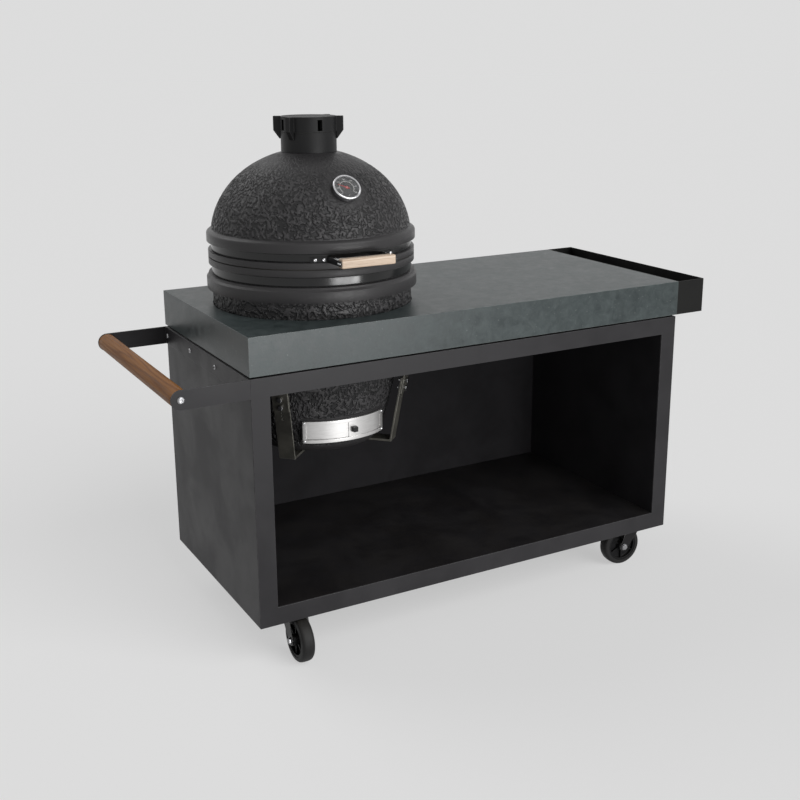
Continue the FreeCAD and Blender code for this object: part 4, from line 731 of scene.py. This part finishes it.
def innerBowlRows(values):
    inner = plainRows(arcThrough(values["rim"][-1], values["innerWaist"], values["innerFoot"],
                                 values["innerRows"])[1:])
    for level in values["window"]["levels"]:  # rows of the inner wall at the window's edges
        after = next(place for place, row in enumerate(inner) if row[1] < level)
        inner.insert(after, (0.5 * (inner[after - 1][0] + inner[after][0]), level, 0.0))
    return inner + [(0, values["innerFoot"][1], 0.0)]


def raiseBoss(bm, boss):
    relief = bm.verts.layers.float["relief"]
    bare = bm.verts.layers.float["bare"]
    for vert in bm.verts:
        level = vert.co.z * 1000
        azimuth = azimuthOf(vert.co)
        isNear = within(level, boss["levels"], boss["plainLevels"]) \
            and within(azimuth, boss["azimuths"], boss["plainAzimuths"])
        if vert[bare] or not isNear:
            continue
        vert[relief] = 0.0
        if within(level, boss["levels"], boss["slack"]) and within(azimuth, boss["azimuths"]):
            share = 0.001 * boss["radius"] / math.hypot(vert.co.x, vert.co.y)
            vert.co = (vert.co.x * share, vert.co.y * share, vert.co.z)


def cutWindow(bm, window):  # through both walls, whose edges are then joined
    gone = []
    for face in bm.faces:
        middle = face.calc_center_median()
        if within(middle.z * 1000, window["levels"]) and within(azimuthOf(middle), window["azimuths"]):
            gone.append(face)
    bmesh.ops.delete(bm, geom=gone, context="FACES")
    bmesh.ops.bridge_loops(bm, edges=[edge for edge in bm.edges if edge.is_boundary])


def makeBowl(values):
    foot = plainRows([(0, values["foot"][1]), values["foot"]])
    inner = innerBowlRows(values)
    outline = foot + outerBowlRows(values) + plainRows(values["rim"]) + inner
    bm = spinCeramic(outline, len(inner) + 1, values["columns"])
    raiseBoss(bm, values["boss"])
    lip, base = 0.001 * values["lipAbove"], 0.001 * values["footBelow"]
    edges = [edge for edge in sharpEdges(bm, 30) if not base <= edge.verts[0].co.z <= lip]
    softenEdges(bm, edges, 0.001 * values["bevel"])
    raiseRelief(bm)
    cutWindow(bm, values["window"])
    finishPiece(bm, "kamado_bowl", atKamado, smoothAngle=38)


thermometerElevation = 41.4
thermometerSlope = math.atan2(lidForm["height"] * math.tan(math.radians(thermometerElevation)),
                              lidForm["radius"])
thermometerStart = Vector((
    0, -0.001 * lidForm["radius"] * math.cos(thermometerSlope),
    0.001 * (lidForm["centre"] + lidForm["height"] * math.sin(thermometerSlope))))
thermometerTurn = Matrix.Translation(kamadoPlace + thermometerStart) \
    @ Matrix.Rotation(math.radians(90 - thermometerElevation), 4, "X")


def domeRows(values):
    radius, height, centre, rows = (values[key] for key in ("radius", "height", "centre", "rows"))
    start = math.asin((values["shoulderLevel"] - centre) / height)
    end = math.acos(values["top"] / radius)
    dome = []
    for step in range(rows + 1):
        way = step / rows
        angle = start + (end - start) * step / rows
        relief = smoothStep(*values["shoulderFade"], way) \
            * (1 - values["upperLoss"] * smoothStep(*values["upperFade"], way)) \
            * (1 - smoothStep(*values["topFade"], way))
        dome.append((radius * math.cos(angle), centre + height * math.sin(angle), relief))
    return dome


def makeLid(values):
    dome = domeRows(values)
    end = math.acos(values["hole"] / values["innerRadius"])
    angles = [end * (1 - step / values["innerRows"]) for step in range(values["innerRows"] + 1)]
    inner = plainRows([(values["innerRadius"] * math.cos(angle),
                        values["centre"] + values["innerHeight"] * math.sin(angle)) for angle in angles])
    outline = plainRows(values["lip"]) + dome + [(values["hole"], dome[-1][1], 0.0)] + inner
    bm = spinCeramic(outline, len(inner), values["columns"], closed=True)
    softenEdges(bm, sharpEdges(bm, 30), 0.001 * values["bevel"])
    least = values["caseRelief"]

    def caseFade(point):
        return least + (1 - least) * smoothStep(*values["caseFade"], (point - thermometerStart).length)

    raiseRelief(bm, caseFade)
    finishPiece(bm, "kamado_lid", atKamado, smoothAngle=38)


makeBowl(bowlForm)
makeLid(lidForm)
print("ceramics turned")


# Rings round the kamado: radii and levels in millimetres
rings = {
    "band": {"outer": 271.0, "inner": 266.7, "bevel": 1.1, "crown": 0.1, "inset": 2.6,
             "levels": {"bowl_band": (86.0, 109.0), "lid_band": (149.0, 169.0)}},
    "gasket": {"outer": 276.5, "inner": 248.0, "bevel": 0.5, "crown": 0.3, "inset": 2.6,
               "levels": {"bowl_gasket": (128.4, 129.85), "lid_gasket": (130.15, 131.6)}},
}


def makeRing(node, values, low, high):
    outer, inner = values["outer"], values["inner"]
    face = outer + values["crown"]
    inset = min(values["inset"], (high - low) / 3)  # the crown starts this far from the ring's edges
    outline = [(inner, low), (outer, low), (face, low + inset), (face, high - inset), (outer, high),
               (inner, high)]
    bm = spinOutline(inMetres(outline), 192, closed=True)
    softenEdges(bm, sharpEdges(bm, 50), 0.001 * values["bevel"], 3)
    finishPiece(bm, node, atKamado, smoothAngle=40)


for values in rings.values():
    for node, (low, high) in values["levels"].items():
        makeRing(node, values, low, high)


# Fasteners; each shape is made once and stamped at its places
def buttonHead(radius, height, socket=0.5):  # domed head with a hexagon socket, in shares of its size
    dome = [(1.0, 0.0), (1.0, 0.2), (0.93, 0.5), (0.8, 0.75), (0.66, 0.93), (socket + 0.06, 1.0)]
    outline = [(0, -0.3), (1.0, -0.3)] + dome + [(socket, 0.96), (socket, 0.35), (0.0, 0.3)]
    bm = spinOutline([(radius * share, height * level) for share, level in outline], 36)
    for vert in bm.verts:
        reach = math.hypot(vert.co.x, vert.co.y)
        if vert.co.z > 0.3 * height and abs(reach - radius * socket) < 0.02 * radius:
            angle = math.atan2(vert.co.y, vert.co.x) % (math.pi / 3) - math.pi / 6
            flat = math.cos(math.pi / 6) / math.cos(angle)
            vert.co.x *= flat
            vert.co.y *= flat
    return toMesh(bm)


def hexHead(radius, height, washer=0.0):  # hexagon with a rounded top, over a washer where one is given
    bm = bmesh.new()
    washerSheet, sunk = 0.0014, 0.0004
    if washer:
        bmesh.ops.create_cone(bm, cap_ends=True, segments=32, radius1=washer, radius2=washer,
                              depth=washerSheet, matrix=Matrix.Translation((0, 0, washerSheet / 2)))
    rise = height / 2 + (washerSheet - sunk if washer else 0.0)
    made = bmesh.ops.create_cone(bm, cap_ends=True, segments=6, radius1=radius, radius2=radius,
                                 depth=height, matrix=Matrix.Translation((0, 0, rise)))
    top = {edge for vert in made["verts"] for edge in vert.link_edges
           if edge.calc_length() > 0.5 * radius and min(end.co.z for end in edge.verts) > height * 0.9}
    softenEdges(bm, list(top), 0.12 * radius, 3)
    return toMesh(bm)


def rod(radius, low, high, steps):
    return toMesh(spinOutline([(0, low), (radius, low), (radius, high), (0, high)], steps))


# Push handle; the turns are how far a head's socket is turned, in radians
pushHandle = {"axis": (-0.79775, 0.770), "front": -0.3075, "back": 0.3305, "radius": 0.024,
              "ease": 0.0014, "rows": 24, "boltRadius": 0.0095, "boltHeight": 0.0042,
              "armSheet": 0.004, "frontTurn": 0.4, "backTurn": 0.2,
              "screwX": -0.62725, "screwYs": (-0.2685, -0.0735, 0.1215, 0.3165),
              "screwRadius": 0.0065, "screwHeight": 0.0035, "screwTurn": 0.7}
planterScrews = {"x": 0.72675, "ys": (-0.2335, 0.2565), "z": 0.85, "turn": 0.5}


def makeCabinetFasteners(handle, planter):
    bolt = buttonHead(handle["boltRadius"], handle["boltHeight"])
    screw = buttonHead(handle["screwRadius"], handle["screwHeight"])
    x, z = handle["axis"]
    front, back = handle["front"] - handle["armSheet"], handle["back"] + handle["armSheet"]
    places = [(bolt, facing((x, front, z), (0, -1, 0), handle["frontTurn"])),
              (bolt, facing((x, back, z), (0, 1, 0), handle["backTurn"]))]
    for number, y in enumerate(handle["screwYs"]):
        place = (handle["screwX"], y, z)
        places.append((screw, facing(place, (-1, 0, 0), handle["screwTurn"] * number)))
    for number, y in enumerate(planter["ys"]):
        place = (planter["x"], y, planter["z"])
        places.append((screw, facing(place, (1, 0, 0), planter["turn"] * number)))
    stampAll("cabinet_fasteners", "darkBolt", places)


def makePushBar(values):
    x, z = values["axis"]
    length = values["back"] - values["front"]
    rows = [(values["radius"], length * step / values["rows"]) for step in range(1, values["rows"])]
    outline = [(0, 0), (values["radius"], 0), *rows, (values["radius"], length), (0, length)]
    bm = spinOutline(outline, 72)
    softenEdges(bm, sharpEdges(bm, 50), values["ease"], 3)
    finishPiece(bm, "push_handle_bar", facing((x, values["front"], z), (0, 1, 0)))


makeCabinetFasteners(pushHandle, planterScrews)
makePushBar(pushHandle)

# Lid handle: a rounded bar of pale timber, its band bolts and the screws in the bar's ends
lidHandle = {"size": (0.150, 0.022, 0.024), "front": -0.343, "level": 0.1545, "round": 0.0035,
             "bandFace": 0.2743, "boltAzimuths": (18.2, 22.7), "boltRadius": 0.0055,
             "boltHeight": 0.005, "boltSocket": 0.42, "screwX": 0.078,
             "screwSetbacks": (0.006, 0.015), "screwRadius": 0.0025, "screwHeight": 0.002}


def makeLidHandleBar(values):
    width, depth, height = values["size"]
    bm = bmesh.new()
    bmesh.ops.create_cube(bm, size=1)
    bmesh.ops.scale(bm, vec=(width, depth, height), verts=bm.verts)
    softenEdges(bm, bm.edges[:], values["round"], 4)
    place = kamadoPlace + Vector((0, values["front"] + depth / 2, values["level"]))
    finishPiece(bm, "lid_handle_bar", Matrix.Translation(place), smoothAngle=50)


makeLidHandleBar(lidHandle)

hingeBolts = {"face": 0.2753, "angles": (-16.5, -5.0, 5.0, 16.5), "radius": 0.0045, "height": 0.004,
              "lidLevel": 0.159, "bowlLevel": 0.0975}
stemNut = {"radius": 0.009, "height": 0.006, "depth": 0.0274}


def hingeBoltPlaces(hinge, level):
    bolt = hexHead(hinge["radius"], hinge["height"])
    return [(bolt, facing(*aroundKamado(180 + angle, hinge["face"], level), angle))
            for angle in hinge["angles"]]


def makeLidFasteners(handle, hinge, nut):
    bolt = buttonHead(handle["boltRadius"], handle["boltHeight"], handle["boltSocket"])
    screw = buttonHead(handle["screwRadius"], handle["screwHeight"])
    places = []
    for side in (-1, 1):
        for azimuth in handle["boltAzimuths"]:
            spot = aroundKamado(side * azimuth, handle["bandFace"], handle["level"])
            places.append((bolt, facing(*spot, azimuth)))
        for setback in handle["screwSetbacks"]:
            place = Vector((side * handle["screwX"], handle["front"] + setback, handle["level"]))
            places.append((screw, facing(kamadoPlace + place, (side, 0, 0), setback)))
    places += hingeBoltPlaces(hinge, hinge["lidLevel"])
    nutPlace = Matrix.Translation((0, 0, -nut["depth"] - nut["height"]))
    places.append((hexHead(nut["radius"], nut["height"]), thermometerTurn @ nutPlace))
    stampAll("lid_bolts", "chrome", places)


# Hangers: each bolt goes through strap and bracket and sticks out by the overhang. The outer and inner
# heads turn with their level.
hangers = {"azimuths": (45, 135, 225, 315), "footRadius": 0.223, "lean": 10.62, "sheet": 0.005,
           "gap": 0.0014, "bottom": -0.386, "boltLevels": (-0.216, -0.238), "boltRadius": 0.004,
           "overhang": 0.002, "headRadius": 0.0073, "headHeight": 0.005, "outerTurn": 90,
           "innerTurn": 50, "footBoltRadius": 0.2}
draftScrews = {"centre": -0.75, "spread": 32.55, "levels": (-0.3455, -0.2945), "face": 0.2151,
               "radius": 0.0038, "height": 0.002, "socket": 0.4, "turn": 40}


def hangerBoltPlaces(values, head, azimuth, level):
    lean = math.tan(math.radians(values["lean"]))
    strap = values["footRadius"] + lean * (level - values["bottom"])
    start = strap - values["gap"] - values["headHeight"]
    end = strap + 2 * values["sheet"] + values["gap"]
    shank = rod(values["boltRadius"], 0, end - start + 2 * values["overhang"], 20)
    outerPlace, outward = aroundKamado(azimuth, end, level)
    innerPlace, outward = aroundKamado(azimuth, start + values["headHeight"], level)
    shankPlace, outward = aroundKamado(azimuth, start - values["overhang"], level)
    return [(head, facing(outerPlace, outward, level * values["outerTurn"])),
            (head, facing(innerPlace, -outward, level * values["innerTurn"])),
            (shank, facing(shankPlace, outward))]


def makeKamadoFasteners(values, draft, hinge):
    head = hexHead(values["headRadius"], values["headHeight"])
    places = []
    for azimuth in values["azimuths"]:
        for level in values["boltLevels"]:
            places += hangerBoltPlaces(values, head, azimuth, level)
        footLevel = values["bottom"] - values["sheet"]
        place = aroundKamado(azimuth, values["footBoltRadius"], footLevel)[0]
        places.append((head, facing(place, (0, 0, -1), azimuth)))
    screw = buttonHead(draft["radius"], draft["height"], draft["socket"])
    for side in (-1, 1):
        for level in draft["levels"]:
            spot = aroundKamado(draft["centre"] + side * draft["spread"], draft["face"], level)
            places.append((screw, facing(*spot, level * draft["turn"])))
    places += hingeBoltPlaces(hinge, hinge["bowlLevel"])
    stampAll("kamado_fasteners", "chrome", places)


makeLidFasteners(lidHandle, hingeBolts, stemNut)
makeKamadoFasteners(hangers, draftScrews, hingeBolts)
print("handles and fasteners made")


# Thermometer, laid on the dome; its own Z looks out of the dial. Millimetres and degrees.
thermometer = {"case": [(0, 13.2), (1.5, 13.2), (1.5, 2.3), (32, 2.3), (32, 14.8), (33, 14.8),
                        (33, 16.2), (33.9, 17.0), (35.6, 16.9), (37.0, 15.8), (37.5, 14.2),
                        (37.5, 12.2), (36.8, 11.2), (34, 10.8), (34, 0.3), (4, 0.3), (4, -57),
                        (2.5, -58), (0, -58)],
               "dialRadius": 31.95, "dialBore": 1.55, "dialLow": 11.0, "dialHigh": 11.8,
               "lensRadius": 33.0, "lensLow": 14.8, "lensHigh": 16.0, "lensCrown": 1.4,
               "lensShares": (0.0, 0.2, 0.4, 0.6, 0.8, 0.95, 1.0), "printHeight": 0.08,
               "startAngle": 222.0, "endAngle": -38.0, "ticks": 30, "ringRadius": 19.0,
               "ringWidth": 0.7, "longTick": (3.4, 0.8), "shortTick": (1.9, 0.45), "tickOverlap": 0.2,
               "numbers": (50, 100, 150, 200, 250, 300, 350), "numberRadius": 25.6,
               "numberSize": 4.6, "unitPlace": (0, -23.5)}


def makeThermometer(values):
    case = spinOutline(inMetres(values["case"]), 96)
    finishPiece(case, "thermometer_case", thermometerTurn, smoothAngle=40)
    bore, edge, low, high = (values[key] for key in ("dialBore", "dialRadius", "dialLow", "dialHigh"))
    disc = spinOutline(inMetres([(bore, low), (edge, low), (edge, high), (bore, high)]), 96, closed=True)
    finishPiece(disc, "thermometer_dial", thermometerTurn)
    radius, low, high, crown = (values[key] for key in ("lensRadius", "lensLow", "lensHigh", "lensCrown"))
    crownRows = [(radius * math.sqrt(1 - share), high + crown * share) for share in values["lensShares"]]
    lens = spinOutline(inMetres([(0, low), (radius, low), *crownRows]), 96)
    finishPiece(lens, "thermometer_lens", thermometerTurn, smoothAngle=50)


def addPrintBar(bm, matrix, length, width, height):
    made = bmesh.ops.create_cube(bm, size=1)
    bmesh.ops.scale(bm, vec=(length, width, height), verts=made["verts"])
    bmesh.ops.transform(bm, matrix=matrix, verts=made["verts"])


def numberMesh(label, size, height):
    text = bpy.data.curves.new("dialNumber", "FONT")
    text.body = label
    text.size = size
    text.align_x = "CENTER"
    text.align_y = "CENTER"
    text.extrude = height / 2
    text.resolution_u = 3
    holder = bpy.data.objects.new("dialNumber", text)
    bpy.context.scene.collection.objects.link(holder)
    mesh = bpy.data.meshes.new_from_object(holder.evaluated_get(bpy.context.evaluated_depsgraph_get()))
    bpy.data.objects.remove(holder)
    return mesh


# White print, standing on the dial: a ring open below, ticks outside it, numbers and the unit
def makeDialPrint(values):
    bm = bmesh.new()
    height = 0.001 * values["printHeight"]
    level = 0.001 * values["dialHigh"] + height / 2
    start = math.radians(values["startAngle"])
    sweep = math.radians(values["endAngle"] - values["startAngle"])
    outer = 0.001 * values["ringRadius"]
    inner = outer - 0.001 * values["ringWidth"]
    corners = ((outer, -height / 2), (outer, height / 2), (inner, height / 2), (inner, -height / 2))
    section = [bm.verts.new((radius, 0, level + rise)) for radius, rise in corners]
    face = bm.faces.new(section)
    bmesh.ops.rotate(bm, matrix=Matrix.Rotation(start, 3, "Z"), verts=section)
    bmesh.ops.spin(bm, geom=[face], cent=(0, 0, 0), axis=(0, 0, 1), angle=sweep, steps=80)
    bmesh.ops.recalc_face_normals(bm, faces=bm.faces)
    for tick in range(values["ticks"] + 1):
        length, width = inMetres([values["longTick" if tick % 5 == 0 else "shortTick"]])[0]
        middle = outer + length / 2 - 0.001 * values["tickOverlap"]
        turn = Matrix.Rotation(start + sweep * tick / values["ticks"], 4, "Z")
        addPrintBar(bm, turn @ Matrix.Translation((middle, 0, level)), length, width, height)
    size = 0.001 * values["numberSize"]
    for number, label in enumerate(values["numbers"]):
        angle = start + sweep * number / (len(values["numbers"]) - 1)
        spot = Vector((math.cos(angle), math.sin(angle), 0)) * 0.001 * values["numberRadius"]
        stamp(bm, numberMesh(str(label), size, height), Matrix.Translation((spot.x, spot.y, level)))
    unitPlace = (*inMetres([values["unitPlace"]])[0], level)
    stamp(bm, numberMesh("°C", size, height), Matrix.Translation(unitPlace))
    finishPiece(bm, "thermometer_dial", thermometerTurn, look="dialPrint", extraName="thermometerPrint")


makeThermometer(thermometer)
makeDialPrint(thermometer)
print("thermometer made")


# Casters: places are x, y and the swivel's azimuth; tyre and hub are (along the axle, radius) in mm
casters = {
    "places": {"front_left": (-0.50625, -0.2435, 0.0), "front_right": (0.65675, -0.2435, -95.0),
               "rear_left": (-0.50625, 0.2665, 35.0), "rear_right": (0.65675, 0.2665, -30.0)},
    "trail": 0.0475, "radius": 0.0625,
    "tyre": [(-18, 47.5), (-17.9, 54), (-16.6, 58.2), (-13.6, 60.9), (-9.5, 62.1), (-4, 62.5),
             (4, 62.5), (9.5, 62.1), (13.6, 60.9), (16.6, 58.2), (17.9, 54), (18, 47.5)],
    "hub": [(-24.6, 4.05), (24.6, 4.05), (24.6, 13.0), (23.4, 15.0), (15.5, 15.6), (6.0, 17.0),
            (6.0, 40.0), (8.0, 41.5), (16.2, 41.5), (17.0, 42.4), (17.0, 47.5), (-17.0, 47.5),
            (-17.0, 42.4), (-16.2, 41.5), (-8.0, 41.5), (-6.0, 40.0), (-6.0, 17.0), (-15.5, 15.6),
            (-23.4, 15.0), (-24.6, 13.0)],
    "hubEase": 0.0006, "ribs": 6, "ribThickness": 0.0035, "ribReach": (0.0155, 0.0415),
    "ribWidth": 0.026, "legFace": 0.028, "axleRadius": 0.004, "headRadius": 0.0085,
    "headHeight": 0.005, "headTurn": 0.3, "washer": 0.0098,
}


def casterMatrix(values, corner):
    x, y, azimuth = values["places"][corner]
    return Matrix.Translation((x, y, 0)) @ Matrix.Rotation(math.radians(azimuth), 4, "Z") \
        @ Matrix.Translation((0, -values["trail"], values["radius"]))


def turnedOnAxle(outline, steps):  # local X is the axle
    bm = spinOutline(inMetres([(radius, along) for along, radius in outline]), steps, closed=True)
    bmesh.ops.rotate(bm, matrix=Matrix.Rotation(math.pi / 2, 3, "Y"), verts=bm.verts)
    return bm


def makeTyre(values, corner, matrix):
    finishPiece(turnedOnAxle(values["tyre"], 96), "caster_tyre_" + corner, matrix, smoothAngle=50)


def makeHub(values, corner, matrix):
    bm = turnedOnAxle(values["hub"], 72)
    softenEdges(bm, sharpEdges(bm, 50), values["hubEase"])
    low, high = values["ribReach"]
    for rib in range(values["ribs"]):
        made = bmesh.ops.create_cube(bm, size=1)["verts"]
        bmesh.ops.scale(bm, vec=(values["ribWidth"], values["ribThickness"], high - low), verts=made)
        bmesh.ops.translate(bm, vec=(0, 0, (low + high) / 2), verts=made)
        turn = Matrix.Rotation(2 * math.pi * rib / values["ribs"], 3, "X")
        bmesh.ops.rotate(bm, matrix=turn, verts=made)
    finishPiece(bm, "caster_hub_" + corner, matrix)


def makeAxle(values, corner, matrix):
    bolt = hexHead(values["headRadius"], values["headHeight"], values["washer"])
    reach = values["legFace"]
    places = [(bolt, matrix @ facing((side * reach, 0, 0), (side, 0, 0), values["headTurn"]))
              for side in (-1, 1)]
    places.append((rod(values["axleRadius"], -reach, reach, 24), matrix @ facing((0, 0, 0), (1, 0, 0))))
    stampAll("caster_axle_" + corner, "darkBolt", places)


casterBolts = {"reach": 0.031, "level": 0.155, "radius": 0.0072, "height": 0.0045}


def makeCasterBolts(values, bolts):
    head = hexHead(bolts["radius"], bolts["height"])
    places = []
    for number, place in enumerate(values["places"].values()):
        for stepX in (-1, 1):
            for stepY in (-1, 1):
                x = place[0] + stepX * bolts["reach"]
                y = place[1] + stepY * bolts["reach"]
                places.append((head, facing((x, y, bolts["level"]), (0, 0, -1), number + stepX)))
    stampAll("caster_bolts", "darkBolt", places)


for corner in casters["places"]:
    for makePart in (makeTyre, makeHub, makeAxle):
        makePart(casters, corner, casterMatrix(casters, corner))
makeCasterBolts(casters, casterBolts)
print("casters made")


# Carried-over nodes take their slot's look
for node, piece in frame["nodes"].items():
    if not piece.hide_render:
        for materialSlot in piece.material_slots:
            materialSlot.material = looks[lookOfSlot[slotOfNode[node]]]


# Studio: a broad soft lamp far off at the front right, a weaker one behind, and a low wide panel in
# front that the glossy band and the draft door mirror. Camera, metal and glass see floor and world at
# one pale tone. A sun is its name, power, azimuth, elevation and softness in degrees.
studio = {"floor": (178, 178, 178), "world": 0.13, "pale": 0.72,
          "suns": [("keyLamp", 1.5, 20.0, 33.0, 50.0), ("backLamp", 0.6, 212.0, 42.0, 40.0)],
          "panel": {"place": (0.34, -2.97, 0.47), "target": (-0.3, 0.0, 0.5), "size": (1.7, 0.38),
                    "power": 34.0}}


def placeLamp(lamp, source):  # source is the way from the object to the lamp
    holder = bpy.data.objects.new(lamp.name, lamp)
    holder.rotation_euler = (-source).to_track_quat("-Z", "Y").to_euler()
    bpy.context.scene.collection.objects.link(holder)
    return holder


def makeSun(name, power, azimuth, elevation, softness):
    sun = bpy.data.lights.new(name, "SUN")
    sun.energy = power
    sun.angle = math.radians(softness)
    placeLamp(sun, towards(azimuth, elevation))
    return power * math.sin(math.radians(elevation)) / math.pi  # what it gives a white floor


def makePanel(values, floor):
    panel = bpy.data.lights.new("frontPanel", "AREA")
    panel.shape = "RECTANGLE"
    panel.size, panel.size_y = values["size"]
    panel.energy = values["power"]
    holder = placeLamp(panel, Vector(values["place"]) - Vector(values["target"]))
    holder.location = values["place"]
    spared = bpy.data.collections.new("sparedByPanel")  # the low panel would burn out the floor before it
    spared.objects.link(floor)
    spared.collection_objects[0].light_linking.link_state = "EXCLUDE"
    holder.light_linking.receiver_collection = spared


def seenDirectly(tree):  # 1 for what the camera, a mirror or glass sees, 0 for what lights other surfaces
    path = tree.nodes.new("ShaderNodeLightPath").outputs
    clear = calculate(tree, "MAXIMUM", path["Is Camera Ray"], path["Is Transmission Ray"])
    return calculate(tree, "MAXIMUM", clear, path["Is Glossy Ray"])


def makeFloor(values, litLevel):  # the floor glows by what the lamps leave short of the pale tone
    bm = bmesh.new()
    bmesh.ops.create_grid(bm, x_segments=2, y_segments=2, size=60)
    mesh = bpy.data.meshes.new("floor")
    bm.to_mesh(mesh)
    bm.free()
    floor = bpy.data.objects.new("floor", mesh)
    bpy.context.scene.collection.objects.link(floor)
    material, tree, shader = newMaterial("floorPaint", {
        "Base Color": paint(values["floor"]), "Roughness": 1.0, "Specular IOR Level": 0.0,
        "Emission Color": (1, 1, 1, 1)})[:3]
    glow = multiply(tree, seenDirectly(tree), values["pale"] - litLevel)
    tree.links.new(glow, shader.inputs["Emission Strength"])
    mesh.materials.append(material)
    return floor


def makeWorld(values):
    world = bpy.data.worlds.new("studio")
    bpy.context.scene.world = world
    world.use_nodes = True
    tree = world.node_tree
    background = tree.nodes["Background"].inputs
    background["Color"].default_value = (1, 1, 1, 1)
    strength = rescale(tree, seenDirectly(tree), 0.0, 1.0, values["world"], values["pale"])
    tree.links.new(strength, background["Strength"])
    bpy.context.scene.view_settings.view_transform = "Standard"


def makeStudio(values):
    lit = values["world"]
    for sun in values["suns"]:
        lit += makeSun(*sun)
    floor = makeFloor(values, paint(values["floor"])[0] * lit)
    makePanel(values["panel"], floor)
    makeWorld(values)


makeStudio(studio)
print("studio lit")
